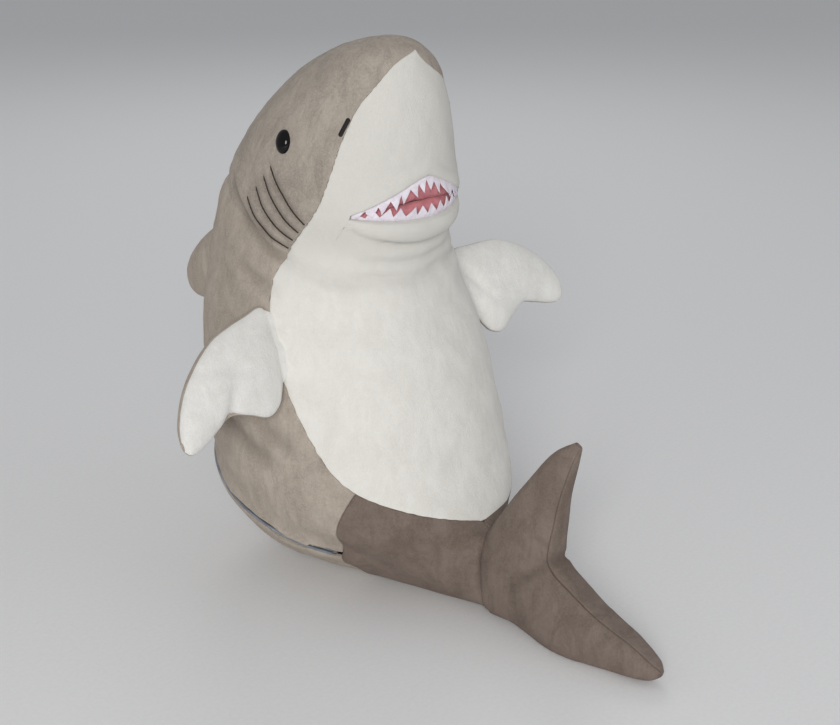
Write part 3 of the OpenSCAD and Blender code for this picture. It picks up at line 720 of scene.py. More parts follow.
def gloss_material(name, light, dark, rough=(0.04, 0.12), metal=0.0, shine=0.5):
    """Hard plastic or plated metal, with faint scuffs."""
    material, tree, shader, where = new_material(name)
    cloud = noise(tree, where, 70, 3)
    scuffs = noise(tree, where, 900, 3, 0.7, 0.5, ((1.0, 0.25, 1.0), (0.4, 0.1, 0.2)))
    colour = blend_colours(tree, spread(tree, cloud, 0.3, 0.7), dark, light)
    tree.links.new(colour, shader.inputs["Base Color"])
    tree.links.new(spread(tree, scuffs, 0.4, 0.8, rough[0], rough[1]), shader.inputs["Roughness"])
    shader.inputs["Specular IOR Level"].default_value = shine
    shader.inputs["Metallic"].default_value = metal
    bumped(tree, shader, [(scuffs, 0.04, 0.0001)])
    return material


GREY = plush("grey plush", linear((184, 173, 161)), linear((150, 139, 128)), linear((200, 190, 178)), 0.6)
# A darker copy of the grey plush for the head panels: painted shade on the head.
HEAD_GREY_PAINTED_SHADE = plush(
    "grey plush, painted shade on the head", linear((176, 166, 155)), linear((141, 132, 123)),
    linear((194, 185, 174)), 0.65,
)
# The white plush's last colour is painted shade: the white high on the head is painted duller.
WHITE = plush(
    "white plush", linear((232, 230, 224)), linear((216, 213, 206)), linear((240, 239, 235)), 0.4, 0.2, 0.4,
    linear((210, 208, 202)),
)
FIN_WHITE = plush(
    "white fin plush", linear((234, 233, 229)), linear((214, 212, 207)),
    linear((243, 243, 241)), 0.45, 0.2, 0.55,
)
TAUPE = plush(
    "taupe plush", linear((128, 115, 107)), linear((99, 86, 77)),
    linear((142, 130, 121)), 0.55, 0.35, 0.55,
)
FELT = felt_material("tooth felt", linear((236, 230, 238)), linear((218, 210, 222)))
PINK = woven_material("mouth lining", linear((224, 150, 156)), linear((196, 122, 130)), 1300, 0.2)
TAPE = woven_material("zip tape", linear((128, 131, 138)), linear((96, 99, 106)), 1500)
COIL = gloss_material("zip coil", linear((142, 146, 154)), linear((104, 109, 118)), (0.35, 0.5))
METAL = gloss_material("zip metal", linear((176, 178, 184)), linear((142, 144, 150)), (0.18, 0.34), 1.0)
EYE = gloss_material("eye plastic", linear((14, 12, 14)), linear((7, 6, 7)), (0.05, 0.12), 0.0, 0.28)
SATIN = thread_material("nostril thread", linear((44, 42, 42)), linear((18, 17, 18)))
GILL_THREAD = thread_material("gill thread", linear((70, 58, 51)), linear((38, 30, 27)))
FIBRE = felt_material("stuffing", linear((244, 242, 236)), linear((226, 223, 214)))

# ---- Head and trunk ----

SEAM = 0.55
BACK_SEAM = 0.6
LIP = 1.6
ZIP_EDGE = 1.3
TAIL_END = 16.12
TAIL_ROLL = 5.0


def padded(piece):
    return piece


def at_neck(piece):
    """Bakes the trunk's skin's place into its mesh."""
    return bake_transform(piece)


def inside(t):
    """Place in the middle of a ring."""
    r = curve(RINGS, np.array(float(t)))
    return np.array([0, (r[0] + r[2]) / 2, (r[1] + r[3]) / 2])


def head_panel(side, name):
    shares = steps_along(205, HEAD_PITCH, True, True)
    rows = steps_along(190, HEAD_PITCH, False, False)
    patch = skin_patch(
        shares, rows,
        lambda s: np.full(s.shape, FIRST_RING),
        lambda s: neck_ring(grey_angle(side), s),
        grey_angle(side), (0, 0, SEAM, BACK_SEAM),
    )
    piece = skin_mesh(name, [patch], HEAD_GREY_PAINTED_SHADE, 4)
    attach(piece, "head")
    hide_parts(name)
    return padded(piece)


def face_panel():
    """Snout and cheeks in one, with the mouth cut out of it."""
    cheek = steps_along(24, PITCH, False, True)
    right = MOUTH_CORNER + (1 - MOUTH_CORNER) * cheek
    middle = np.linspace(-MOUTH_CORNER, MOUTH_CORNER, int(120 / PITCH) // 2 * 2 + 1)
    rows = steps_along(125, PITCH, False, True)
    low_rows = np.linspace(0, 1, int(46 / PITCH))
    start = lambda s: np.full(s.shape, FIRST_RING)
    neck = lambda s: neck_ring(white_angle, s)
    patches = [skin_patch(middle, rows, start, upper_lip, white_angle, (0, LIP, 0, 0))]
    for side in (1, -1):
        shares = side * right if side > 0 else (side * right)[::-1]
        edges = (0, 0, 0, SEAM) if side > 0 else (0, 0, SEAM, 0)
        upper = skin_patch(shares, rows, start, upper_lip, white_angle, edges)
        lower = skin_patch(shares, low_rows, upper_lip, neck, white_angle, edges)
        patches += [upper, lower]
    piece = skin_mesh("face_panel", patches, WHITE, 4)
    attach(piece, "head")
    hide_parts("face_panel")
    return padded(piece)


def throat(side):
    """Half of the lower lip and throat."""
    shares = np.linspace(0, MOUTH_CORNER, int(62 / PITCH))
    if side < 0:
        shares = -shares[::-1]
    rows = steps_along(50, PITCH, True, False)
    patch = skin_patch(
        shares, rows,
        lambda s: np.full(s.shape, LOWER_LIP_RING),
        lambda s: neck_ring(white_angle, s),
        white_angle, (LIP, 0, 0, 0),
    )
    piece = skin_mesh("throat_left" if side > 0 else "throat_right", [patch], WHITE, 5.5)
    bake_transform(piece)
    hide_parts("chin_panel")
    return padded(piece)


def zip_meets(angle, gap):
    """Share of a side where the zip meets the tail seam."""
    probe = np.linspace(0, 1, 2001)
    return probe[np.argmax(tail_seam_ring(probe, angle) >= zip_ring(probe, angle, gap))]


def below_zip(p):
    """Keeps the skin under the zip's groove."""
    q = zip_local(p)
    q[..., 2] = np.minimum(q[..., 2], -ZIP_GROOVE)
    return zip_world(q)


def down_to_zip(p):
    """Brings the last line of the skin down to the zip's groove, from where it first comes near."""
    q = zip_local(p)
    low = int(np.argmin(q[:, -1, 2]))
    q[low:, -1, 2] = ZIP_GROOVE
    return zip_world(q)


def spread_shares(steps, angle, edge, first):
    """Steps across a panel from a first share. They lie closer together where its edge runs along them."""
    fine = np.linspace(first, 1, 2500)
    t = edge(fine)
    gaps = np.linalg.norm(np.diff(skin_point(t, angle(t, fine)), axis=0), axis=-1)
    travel = np.concatenate([[0], np.cumsum(gaps)])
    both = 0.6 * travel / travel[-1] + 0.4 * (fine - first) / (1 - first)
    return np.interp(steps, both, fine)


def side_panel(side, name):
    angle = grey_angle(side)
    neck = lambda s: neck_ring(angle, s)
    tail_edge = lambda s: tail_seam_ring(s, angle)
    zip_edge = lambda s: zip_ring(s, angle, ZIP_GROOVE)
    meets = zip_meets(angle, ZIP_GROOVE)
    rows = steps_along(250, PITCH, False, True)
    near = meets * steps_along(110, PITCH, True, False)
    far = spread_shares(steps_along(190, PITCH, False, True), angle, zip_edge, meets)
    front = skin_patch(near, rows, neck, tail_edge, angle, (0, ZIP_EDGE, SEAM, 0), down_to_zip)
    rear = skin_patch(far, rows, neck, zip_edge, angle, (0, ZIP_EDGE, 0, BACK_SEAM))
    piece = skin_mesh(name, [front, rear], GREY, 9)
    at_neck(piece)
    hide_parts(name)
    return padded(piece)


def belly_panel():
    shares = steps_along(210, PITCH, True, True) * 2 - 1
    rows = steps_along(185, PITCH, False, True)
    patch = skin_patch(
        shares, rows,
        lambda s: neck_ring(white_angle, s),
        lambda s: np.full(s.shape, BELLY_END),
        white_angle, (0, 0, SEAM, SEAM),
    )
    piece = skin_mesh("belly_panel", [patch], WHITE, 9)
    at_neck(piece)
    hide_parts("belly_panel", "body_pod")
    return padded(piece)


def base_panel():
    """One panel under the zip, round the back from one end of the zip to the other."""
    angle = grey_angle(1)
    meets = zip_meets(angle, -ZIP_GROOVE)
    upper_edge = lambda s: zip_ring(s, angle, -ZIP_GROOVE)
    shares = spread_shares(steps_along(260, PITCH, True, False), angle, upper_edge, meets)
    rows = steps_along(105, PITCH, True, True)
    half = skin_patch(
        shares, rows,
        upper_edge,
        lambda s: np.maximum(tail_seam_ring(s, angle), upper_edge(s) + 0.005),
        angle, (ZIP_EDGE, SEAM, SEAM, 0), below_zip,
    )
    other = (mirrored(half[0])[:, ::-1], half[1][:, ::-1])
    piece = skin_mesh("base_panel", [half, other], GREY, 12)
    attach(piece, "body")
    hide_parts("base_panel")
    return padded(piece)


def outward_faces(piece, middle):
    """Turns all faces to look away from a place inside."""
    work = bmesh.new()
    work.from_mesh(piece.data)
    bmesh.ops.recalc_face_normals(work, faces=work.faces)
    centre = Vector(to_frame(middle))
    total = sum((f.calc_center_median() - centre).dot(f.normal) * f.calc_area() for f in work.faces)
    if total < 0:
        bmesh.ops.reverse_faces(work, faces=work.faces)
    work.to_mesh(piece.data)
    work.free()
    piece.data.polygons.foreach_set("use_smooth", [True] * len(piece.data.polygons))
    piece.data.update()


def tail_panel(side, name):
    angle = grey_angle(side)
    shares = steps_along(110, PITCH, True, True)
    rows = steps_along(120, PITCH, True, False)
    patch = skin_patch(
        shares, rows,
        lambda s: tail_seam_ring(s, angle),
        lambda s: np.full(s.shape, TAIL_END),
        angle, (SEAM, TAIL_ROLL, BACK_SEAM, BACK_SEAM),
    )
    piece = skin_mesh(name, [patch], TAUPE, 14)
    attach(piece, "body")
    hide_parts(name)
    return padded(piece)


# ---- Fins ----


def fin_piece(
    name, stations, basis, side, material, body,
    rim=(0, 0), mirror=False, relief=None, blunt=0.9, tip=0.7, shade=0.0,
):
    """One face of a fin. basis is (root, out, along, face); side is 1 for the face it points out of.
    The faces meet round its edge, and rim moves that line on to this face, at its front and its rear."""
    rows = np.array(stations, float)
    k = steps_along(130, PITCH, True, True) * (len(rows) - 1)
    st = curve(rows, k)
    span = np.linalg.norm(st[:, :2] - st[:, 2:4], axis=1).max()
    front = rim[0] * side
    rear = rim[1] * side
    turn = front + steps_along(span, PITCH * 0.9, True, True) * (np.pi - front - rear)
    share = (1 - np.cos(turn)) / 2
    out = st[:, 0, None] + (st[:, 2] - st[:, 0])[:, None] * share
    along = st[:, 1, None] + (st[:, 3] - st[:, 1])[:, None] * share
    off = side * st[:, 4, None] * np.sign(np.sin(turn)) * np.abs(np.sin(turn)) ** blunt
    root, o, a, f = (np.array(v, float) for v in basis)
    grid = root + out[..., None] * o + along[..., None] * a + off[..., None] * f
    normals = grid_normals(grid, f * side)
    height = 0.45 * lumps(grid, len(name) * 7, 38) + 0.15 * lumps(grid, len(name), 12)
    height = height * np.sin(np.clip(turn, 0, np.pi))
    folds = np.zeros(height.shape)
    if relief is not None:
        folds = relief(out, along, share)
    height = height + folds
    grid = grid + normals * height[..., None]
    grid = sewn_grid(grid, normals, (tip, tip, tip, tip), 0.2)
    if mirror:
        grid = mirrored(grid)
    points, faces = join_grids([grid])
    # Painted shade in the fin's folds, as strong as shade asks.
    crease = np.pad(np.clip(-shade * folds, 0, 0.8), 1, mode="edge").reshape(-1)
    piece = make_mesh(name, points, faces, material, crease=crease)
    face_way = np.array(f * side * ([-1, 1, 1] if mirror else [1, 1, 1]))
    towards(piece, face_way)
    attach(piece, body)
    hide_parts(name)
    return piece


def towards(piece, way):
    normals = np.array([p.normal[:] for p in piece.data.polygons])
    areas = np.array([p.area for p in piece.data.polygons])
    if ((normals @ way) * areas).sum() < 0:
        piece.data.flip_normals()


def grid_normals(grid, way):
    """Normals of a grid, on the side of a direction."""
    down = np.gradient(grid, axis=0)
    across = np.gradient(grid, axis=1)
    n = unit(np.cross(down, across))
    if (n @ way).sum() < 0:
        n = -n
    return n


PECTORAL_PUFF = 11.0


def pectoral(lift):
    puff = PECTORAL_PUFF
    rows = [
        [-4, -24, -4, 24, 4.5],
        [2.6, -27, 2.6, 27, 4.6],
        [5, -29, 5, 33, 5.4],
        [10, -29, 10, 42, 7.4],
        [20, -25, 20, 48, puff * 0.9],
        [36, -19, 34, 44, puff],
        [50, -12, 48, 42, puff],
        [64, 0, 60, 49, puff * 0.9],
        [76, 14, 70, 56, puff * 0.8],
        [84, 28, 79, 61, puff * 0.65],
        [89, 42, 85, 62, puff * 0.45],
        [90, 52, 89, 59, 1.6],
    ]
    wide = 1 + lift / 3
    return [[o * wide, a - lift * o, q * wide, b - lift * q, h] for o, a, q, b, h in rows]


PECTORAL_ROOT = np.array([94.5, -34, 196])
PECTORAL_ALONG = unit(np.array([6.0, -27, -52]))
RIGHT_TURN = 5.0
LEFT_TURN = -4.0
LEFT_LIFT = 0.25


def pectoral_basis(turn):
    a = PECTORAL_ALONG
    side = unit(np.array([1.0, 0, 0]) - a * a[0])
    face = np.cross(a, side)
    out = side * math.cos(math.radians(turn)) - face * math.sin(math.radians(turn))
    return PECTORAL_ROOT, out, a, np.cross(a, out)


def root_pleats(out, along, share):
    """Gathers where a fin is sewn on, which fade away from the root."""
    near = np.exp(-np.maximum(out, 0) / 13)
    return near * (0.5 * np.sin(along / 3.6 + 0.6) + 0.25 * np.sin(along / 2.1)) * np.sin(np.pi * share)


def right_fin_folds(out, along, share):
    """A soft fold up from the rear edge and a dent across the middle."""
    dent = 1.5 * hump(along + 0.1 * out, 16, 5) * smooth(out, 22, 40) * smooth(-out, -78, -52)
    fold = 2.6 * hump(out - 0.25 * (along - 30), 46, 5) * smooth(along, 16, 34)
    return root_pleats(out, along, share) - dent - fold


def left_fin_folds(out, along, share):
    crease = 2.6 * hump(out - 0.5 * along, 12, 4.5) * smooth(-along, -30, 5)
    return root_pleats(out, along, share) - crease


def pectoral_fins():
    for side, turn, lift, folds in (
        ("right", RIGHT_TURN, 0.0, right_fin_folds),
        ("left", LEFT_TURN, LEFT_LIFT, left_fin_folds),
    ):
        basis = pectoral_basis(turn)
        stations = pectoral(lift)
        body = "fin_" + side
        mirror = side == "right"
        rim = (0.24, 0.05) if mirror else (0.1, 0.05)
        under = fin_piece(f"{body}_under_panel", stations, basis, 1, FIN_WHITE, body, rim, mirror, folds)
        top = fin_piece(f"{body}_top_panel", stations, basis, -1, GREY, body, rim, mirror, root_pleats)
        padded(under)
        padded(top)


DORSAL_PUFF = 10.0
DORSAL = [
    [-4, -38, -4, 40, 4.5],
    [1.8, -42, 1.8, 42, 5],
    [4, -43, 4, 44, 5.6],
    [8, -41, 8, 45, 7],
    [22, -33, 20, 45, DORSAL_PUFF],
    [40, -22, 36, 47, DORSAL_PUFF],
    [56, -11, 52, 49, DORSAL_PUFF * 0.9],
    [70, 1, 66, 51, DORSAL_PUFF * 0.8],
    [81, 14, 77, 51, DORSAL_PUFF * 0.65],
    [88, 26, 85, 47, DORSAL_PUFF * 0.45],
    [90.5, 33, 89, 40, 1.6],
]


def dorsal_fin():
    along = unit(np.array([0.0, 5, -92]))
    basis = ([0, 102.5, 212], np.cross([1.0, 0, 0], along), along, [1, 0, 0])
    for side, name in ((1, "dorsal_panel_left"), (-1, "dorsal_panel_right")):
        piece = fin_piece(name, DORSAL, basis, side, GREY, "dorsal_fin", relief=root_pleats)
        padded(piece)


TAIL_PUFF = 20.0
TAIL_FIN = [
    [229, 153, 234, 150, 1.8],
    [212, 141, 229, 133, TAIL_PUFF * 0.42],
    [194, 118, 223, 110, TAIL_PUFF * 0.62],
    [174, 90, 220, 88, TAIL_PUFF * 0.8],
    [156, 62, 218, 72, TAIL_PUFF * 0.94],
    [145, 36, 219, 63, TAIL_PUFF],
    [148, 4, 225, 56, TAIL_PUFF * 0.98],
    [186, 2.0, 238, 48, TAIL_PUFF * 0.9],
    [220, 0.6, 254, 39, TAIL_PUFF * 0.84],
    [251, 0.4, 270, 32, TAIL_PUFF * 0.74],
    [280, 0.6, 287, 26, TAIL_PUFF * 0.6],
    [300, 3, 302, 18, TAIL_PUFF * 0.42],
    [308, 7, 310, 12, 1.8],
]


def tail_fin_folds(out, along, share):
    """The quilted line from the notch at the rear down to the root, and the gathers at the root."""
    line = (along - 63) + 0.9 * (219 - out)
    crease = 2.6 * hump(line, 0, 4) * smooth(out, 176, 202) * smooth(-out, -236, -222)
    root = 3.0 * hump(out + 0.1 * along, 158, 4.5) * smooth(along, -14, 4)
    pull = 1.6 * hump(out + 0.5 * along, 208, 4) * smooth(along, 6, 16) * smooth(-along, -52, -36)
    full = 6.0 * hump(out, 234, 34) * smooth(-along, -40, -8)
    return full - crease - pull - root


def tail_fin():
    basis = ([0, 0, 0], [0, -1, 0], [0, 0, 1], [1, 0, 0])
    for side, name in ((1, "tail_fin_panel_left"), (-1, "tail_fin_panel_right")):
        rim = (0.0, -0.34)
        piece = fin_piece(
            name, TAIL_FIN, basis, side, TAUPE, "tail_fin",
            rim, relief=tail_fin_folds, blunt=0.6, tip=1.3, shade=0.12,
        )
        padded(piece)
        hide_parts("tail_fin_stuffing")


# ---- Eyes, nostrils and gill stitches ----


def eye(side, name):
    """Oval dome with a rolled rim, set into the plush."""
    t = np.array(EYE_RING)
    a = np.array(EYE_ANGLE)
    n = skin_normal(t, a)
    centre = skin_point(t, a) - n * 1.2
    up = unit(np.array([0, 0.16, 1.0]) - n * n[2])
    across = np.cross(up, n)
    rings = 14
    around = 48
    turn = np.linspace(0, 2 * np.pi, around, endpoint=False)
    grid = []
    for i in range(rings + 1):
        lift = np.pi / 2 * i / rings
        wide = math.cos(lift)
        row = centre + (np.cos(turn) * EYE_HALF[0] * wide)[:, None] * across
        row = row + (np.sin(turn) * EYE_HALF[1] * wide)[:, None] * up
        row = row + n * (EYE_DOME * math.sin(lift) + 0.6)
        grid.append(row)
    grid.insert(0, centre + (grid[0] - centre) * 0.96 - n * 2.5)
    grid = np.array(grid)
    if side < 0:
        grid = mirrored(grid)
    points, faces = join_grids([grid], True)
    piece = make_mesh(name, points, faces, EYE, points[:around].mean(0))
    weld(piece, 0.00001)
    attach(piece, "head")
    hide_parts(name)


def sewn_line(path, steps, side):
    """Places, outward and sideways directions along a line on the soft skin."""
    spots = path_points(path, steps)
    t = spots[:, 0]
    a = spots[:, 1] * side
    base = skin_point(t, a)
    up = skin_normal(t, a)
    line = base + up * skin_relief(base, t, a)[0][:, None]
    along = unit(np.gradient(line, axis=0))
    return line, up, np.cross(up, along), along


NOSTRIL = [[ring, float(seam_angle(ring, -1)) + 2] for ring in (2.6, 2.85, 3.1)]
NOSTRIL_WIDTH = 3.2
THREAD_PITCH = 0.62


def nostril(side, name):
    """Bar of satin stitches that lie side by side across it."""
    steps = 150
    line, up, across, _ = sewn_line(NOSTRIL, steps, side)
    length = np.linalg.norm(np.diff(line, axis=0), axis=1).sum()
    u = np.linspace(0, 1, steps + 1)
    end = np.clip(np.minimum(u, 1 - u) * length / (NOSTRIL_WIDTH / 2), 0, 1)
    half = NOSTRIL_WIDTH / 2 * np.sqrt(1 - (1 - end) ** 2) + 0.02
    ridge = 0.16 * np.abs(np.sin(np.pi * u * length / THREAD_PITCH))
    turn = np.linspace(0, np.pi, 13)
    grid = line[:, None, :] + across[:, None, :] * (half[:, None] * np.cos(turn))[..., None]
    lift = (0.55 + 1.15 * np.sqrt(half / half.max()))[:, None] * np.sin(turn) ** 0.6
    lift = lift + ridge[:, None] * np.sin(turn)
    grid = grid + up[:, None, :] * (lift - 0.7)[..., None]
    points, faces = join_grids([grid])
    piece = make_mesh(name, points, faces, SATIN, inside(2.8))
    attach(piece, "head")
    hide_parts(name)


STITCH = 3.4
GILL_THREAD_R = 0.48


def gill_stitches(side, name):
    """Back-stitched thread: it dips into the plush between one stitch and the next."""
    grids = []
    for path in GILLS:
        steps = 90
        line, up, across, _ = sewn_line(path, steps, side)
        length = np.linalg.norm(np.diff(line, axis=0), axis=1).sum()
        count = max(4, round(length / STITCH))
        u = np.linspace(0, 1, steps + 1)
        stitch = 0.25 * np.abs(np.sin(np.pi * u * count)) ** 0.6
        rise = 0.5 + stitch - 1.4 * smooth(-u, -0.1, 0) - 0.35 * smooth(-u, -0.75, -0.3)
        turn = np.linspace(0, 2 * np.pi, 8, endpoint=False)
        round_it = np.cos(turn)[:, None] * across[:, None, :] + np.sin(turn)[:, None] * up[:, None, :]
        grids.append(line[:, None, :] + up[:, None, :] * rise[:, None, None] + GILL_THREAD_R * round_it)
    points, faces = join_grids(grids, True)
    piece = make_mesh(name, points, faces, GILL_THREAD)
    outward_faces(piece, points.mean(0))
    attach(piece, "head")
    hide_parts(name)


# ---- Mouth ----


def tooth_strip(name, count, lip, way, depth, longest, body, seed):
    """Strip of felt cut into teeth, sewn along its straight edge. Each tooth stands out or curls a little
    differently."""
    rng = np.random.default_rng(seed)
    columns = 12
    heights = np.linspace(0, 1, 8)
    outer = []
    for k in range(count):
        lean = rng.normal(0, 0.10)
        curl = rng.normal(0.25, 0.5) + (1.6 if way > 0 and k == int(0.7 * count) else 0)
        size = rng.uniform(0.9, 1.06)
        x = np.linspace(0, 1, columns + 1)[(1 if k else 0):]
        s = TEETH_SPAN * (2 * (k + x) / count - 1)
        mid = TEETH_SPAN * (2 * (k + 0.5) / count - 1)
        width = TEETH_SPAN * 2 / count
        tall = min(longest, longest_at(mid, way)) * size
        profile = np.clip(1 - np.abs(2 * x - 1), 0, 1) ** 1.12
        v = heights[:, None] * np.maximum(profile * tall, 0.0)[None, :]
        pull = lean * width * v / max(tall, 1)
        share = np.broadcast_to(s[None, :], v.shape) + pull
        band = min(2.8, 0.5 * tall)
        t = lip(np.broadcast_to(s[None, :], v.shape)) + way * (v + band) / RING_PITCH
        out = curl * (v / max(tall, 1)) ** 2 * 1.6
        outer.append((share, t, depth - out))
    share = np.concatenate([o[0] for o in outer], 1)
    t = np.concatenate([o[1] for o in outer], 1)
    sunk = np.concatenate([o[2] for o in outer], 1)
    band_t = lip(share[0]) - way * 2.2 / RING_PITCH
    share = np.concatenate([share[:1], share])
    t = np.concatenate([band_t[None, :], t])
    sunk = np.concatenate([sunk[:1], sunk])
    wave = 0.35 * np.sin(share * 41) * smooth(np.abs(t - lip(share)) * RING_PITCH, 0, 6)
    front = under_skin(t, white_angle(t, share), sunk + wave)
    back = under_skin(t, white_angle(t, share), sunk + wave + 0.8)
    rows, cols = front.shape[:2]
    faces = grid_faces(rows, cols) + [f[::-1] for f in grid_faces(rows, cols, rows * cols)]
    border = [i * cols for i in range(rows)] + [(rows - 1) * cols + j for j in range(1, cols)]
    border += [i * cols + cols - 1 for i in range(rows - 2, -1, -1)] + list(range(cols - 2, 0, -1))
    n = rows * cols
    for a, b in zip(border, border[1:] + border[:1]):
        faces.append((b, a, a + n, b + n))
    points = np.concatenate([front.reshape(-1, 3), back.reshape(-1, 3)])
    piece = make_mesh(name, points, faces, FELT)
    weld(piece, 0.00001)
    outward_faces(piece, points.mean(0))
    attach(piece, body)
    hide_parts(name)
    return piece


def longest_at(s, way):
    room = (LOWER_LIP_RING - float(upper_lip(np.array(s)))) * RING_PITCH
    return max(2.2, 0.5 * room if way > 0 else 0.42 * room)


def fold_point(k):
    return np.stack([k * FOLD_HALF_WIDTH, -70 + 5 * k**2, np.full(k.shape, 289.0)], -1)


def mouth_lining(name, lip, depth, side, body):
    """Pocket of lining from a lip to the fold between the corners, a little wrinkled."""
    k = np.linspace(-1, 1, 61)
    share = k * LINING_SPAN
    t = lip(share)
    edge = under_skin(t, white_angle(t, share), depth)
    fold = fold_point(k)
    u = np.linspace(0, 1, 17)[:, None, None]
    grid = edge[None] * (1 - u) + fold[None] * u
    belly_out = np.sin(np.pi * u[..., 0]) * (1 - np.abs(k)[None, :] ** 3)
    grid[..., 2] -= side * 4.5 * belly_out
    grid[..., 1] -= 3.5 * belly_out
    grid[..., 2] += 0.35 * np.sin(k[None, :] * 19 + u[..., 0] * 3) * belly_out
    grid[..., 1] += 0.4 * np.sin(k[None, :] * 27 + 1) * belly_out
    points, faces = join_grids([grid])
    piece = make_mesh(name, points, faces, PINK)
    towards(piece, np.array([0, -1, -side]))
    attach(piece, body)
    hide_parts(name)
    return piece


def mouth():
    lower = lambda s: np.full(np.shape(s), LOWER_LIP_RING)
    tooth_strip("upper_teeth", 14, upper_lip, 1, 1.6, 8.2, "head", 21)
    tooth_strip("lower_teeth", 12, lower, -1, 2.2, 7.0, "jaw", 22)
    mouth_lining("upper_mouth_lining", lambda s: upper_lip(s) - 0.05, 4.2, 1, "head")
    mouth_lining("lower_mouth_lining", lambda s: lower(s) + 0.05, 4.4, -1, "jaw")


# ---- Zip ----

TAPE_R = 102.6
TAPE_T = 0.7
COIL_PITCH = 1.25


def zip_grid(angles, section):
    """Sweeps a section of (radius, height) round the zip's axis. section gives a row for each angle."""
    rows = []
    for a in angles:
        s = section(a)
        c = math.cos(math.radians(a))
        d = math.sin(math.radians(a))
        rows.append(zip_world(np.stack([s[:, 0] * c, s[:, 0] * d, s[:, 1]], -1)))
    return np.array(rows)


def zip_tape(side, name):
    start = 90 - ZIP_HALF_ANGLE
    end = 90 + ZIP_HALF_ANGLE
    z = np.array([0.7, 1.6, 2.6, 3.6, 4.6, 5.6]) * side

    def section(a):
        ripple = 0.12 * math.sin(a * 1.7) * np.abs(z) / 5
        top = np.stack([TAPE_R + TAPE_T + ripple, z], -1)
        low = np.stack([TAPE_R + ripple, z], -1)[::-1]
        return np.concatenate([top, low])

    grid = zip_grid(np.linspace(start, end, 270), section)
    points, faces = join_grids([grid], True)
    piece = make_mesh(name, points, faces, TAPE)
    outward_faces(piece, inside(11))
    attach(piece, "body")
    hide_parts(name)


def zip_coil(side, name):
    """Row of loops of nylon beside its tape; the two rows of stitches that hold it there are not drawn."""
    start = 90 - ZIP_HALF_ANGLE + 2.2
    end = 90 + ZIP_HALF_ANGLE - 2.2
    length = math.radians(end - start) * ZIP_R
    loops = int(length / COIL_PITCH)
    angles = np.linspace(start, end, loops * 6 + 1)
    turn = np.linspace(0, 2 * np.pi, 10, endpoint=False)

    def section(a):
        phase = (a - start) / (end - start) * loops * 2 * math.pi
        bulge = 0.72 + 0.28 * abs(math.sin(phase / 2)) ** 0.6
        r = (TAPE_R + TAPE_T + 1.75) + 1.6 * bulge * np.sin(turn)
        z = side * (1.85 + 1.12 * np.cos(turn) * (0.8 + 0.2 * bulge))
        return np.stack([r, z], -1)

    grid = zip_grid(angles, section)
    points, faces = join_grids([grid], True)
    piece = make_mesh(name, points, faces, COIL)
    outward_faces(piece, inside(11))
    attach(piece, "body")
    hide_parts(name)


def paint_node(node, material):
    """A CAD part that shows as it is, with its own material."""
    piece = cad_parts[node]
    piece.data.materials.clear()
    piece.data.materials.append(material)
    return piece


# ---- The toy ----

head_panel(1, "head_panel_left")
head_panel(-1, "head_panel_right")
face_panel()
throat(1)
throat(-1)
side_panel(1, "side_panel_left")
side_panel(-1, "side_panel_right")
belly_panel()
base_panel()
tail_panel(1, "tail_panel_left")
tail_panel(-1, "tail_panel_right")
pectoral_fins()
dorsal_fin()
tail_fin()
for one_side, word in ((1, "left"), (-1, "right")):
    eye(one_side, "eye_" + word)
    nostril(one_side, "nostril_" + word)
    gill_stitches(one_side, "gill_stitches_" + word)
mouth()
for one_side, word in ((1, "upper"), (-1, "lower")):
    zip_tape(one_side, "zip_tape_" + word)
    zip_coil(one_side, "zip_coil_" + word)
for node in ("zip_slider", "zip_pull", "zip_end_stops"):
    paint_node(node, METAL)
paint_node("eye_washers", FIBRE)
for node in (
    "body_pod", "tail_stuffing", "head_pod", "jaw_stuffing",
    "fin_right_stuffing", "fin_left_stuffing", "dorsal_stuffing", "tail_fin_stuffing",
):
    paint_node(node, FIBRE)

# ---- Floor, light and camera ----

AZIMUTH = math.radians(-45)
ELEVATION = math.radians(20)
TARGET = Vector((0, -0.02418, 0.17114)) / 0.4 * cad_box[1].z
DISTANCE = 1.0945 / 0.4 * cad_box[1].z
LENS = 64.96


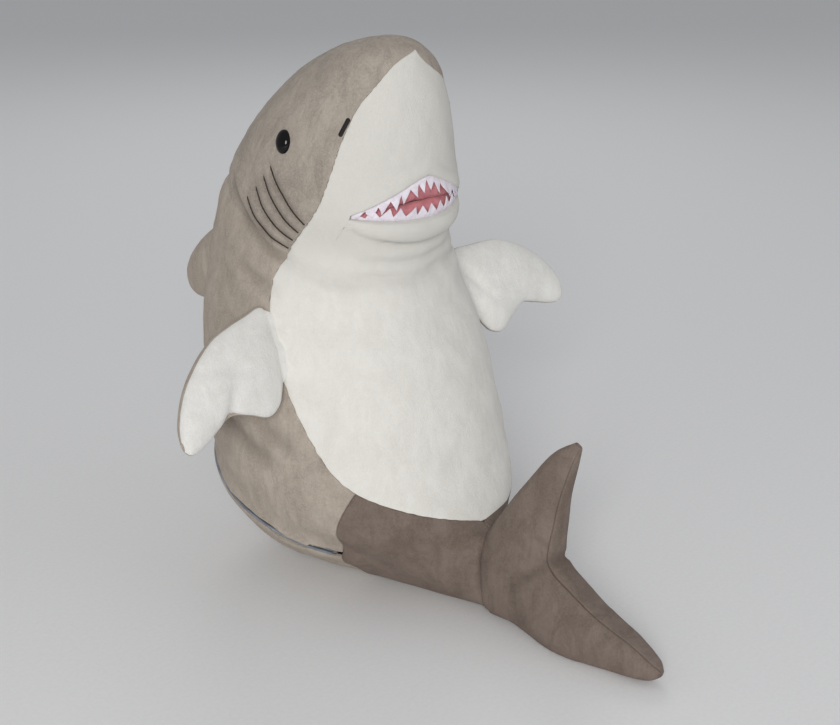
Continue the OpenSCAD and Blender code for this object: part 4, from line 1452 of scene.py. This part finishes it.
def floor():
    """Broad sweep of pale paper, with a faint grain."""
    x = np.linspace(-4, 4, 9)
    grid = np.stack(np.meshgrid(x, x, indexing="ij") + [np.zeros((9, 9))], -1)
    mesh = bpy.data.meshes.new("floor")
    mesh.from_pydata(grid.reshape(-1, 3).tolist(), [], grid_faces(9, 9))
    material, tree, shader, where = new_material("paper")
    grain = noise(tree, where, 320, 3)
    light = linear((240, 240, 240))
    colour = blend_colours(tree, spread(tree, grain, 0.3, 0.7), light, linear((236, 236, 237)))
    tree.links.new(colour, shader.inputs["Base Color"])
    shader.inputs["Roughness"].default_value = 0.9
    bumped(tree, shader, [(grain, 0.05, 0.0003)])
    mesh.materials.append(material)
    piece = bpy.data.objects.new("floor", mesh)
    bpy.context.scene.collection.objects.link(piece)
    piece.location.z = -0.0004


def area_light(name, where, size, power, colour=(1, 1, 1)):
    light = bpy.data.lights.new(name, "AREA")
    light.shape = "DISK"
    light.size = size
    light.energy = power
    light.color = colour
    lamp = bpy.data.objects.new(name, light)
    bpy.context.scene.collection.objects.link(lamp)
    lamp.location = where
    lamp.rotation_euler = (TARGET - Vector(where)).to_track_quat("-Z", "Y").to_euler()


def studio():
    world = bpy.data.worlds.new("studio")
    world.use_nodes = True
    back = world.node_tree.nodes["Background"]
    back.inputs["Color"].default_value = (0.95, 0.97, 1.0, 1)
    back.inputs["Strength"].default_value = 0.37
    bpy.context.scene.world = world
    area_light("key", (-1.95, -1.75, 1.15), 1.1, 43, (1.0, 0.985, 0.96))
    area_light("fill", (0.9, -1.9, 1.1), 1.4, 2.5, (0.97, 0.985, 1.0))
    area_light("rim", (1.2, 1.4, 1.6), 1.0, 6)
    bpy.context.scene.view_settings.view_transform = "Standard"
    bpy.context.scene.view_settings.look = "None"


def camera():
    back = Vector((
        math.sin(AZIMUTH) * math.cos(ELEVATION),
        -math.cos(AZIMUTH) * math.cos(ELEVATION),
        math.sin(ELEVATION),
    ))
    data = bpy.data.cameras.new("camera")
    data.sensor_width = 36
    data.lens = LENS
    data.shift_y = (362 - 362.5) / 840
    data.clip_end = 20
    view = bpy.data.objects.new("camera", data)
    bpy.context.scene.collection.objects.link(view)
    view.location = TARGET + back * DISTANCE
    view.rotation_euler = back.to_track_quat("Z", "Y").to_euler()
    bpy.context.scene.camera = view


floor()
studio()
camera()

bpy.context.view_layer.update()
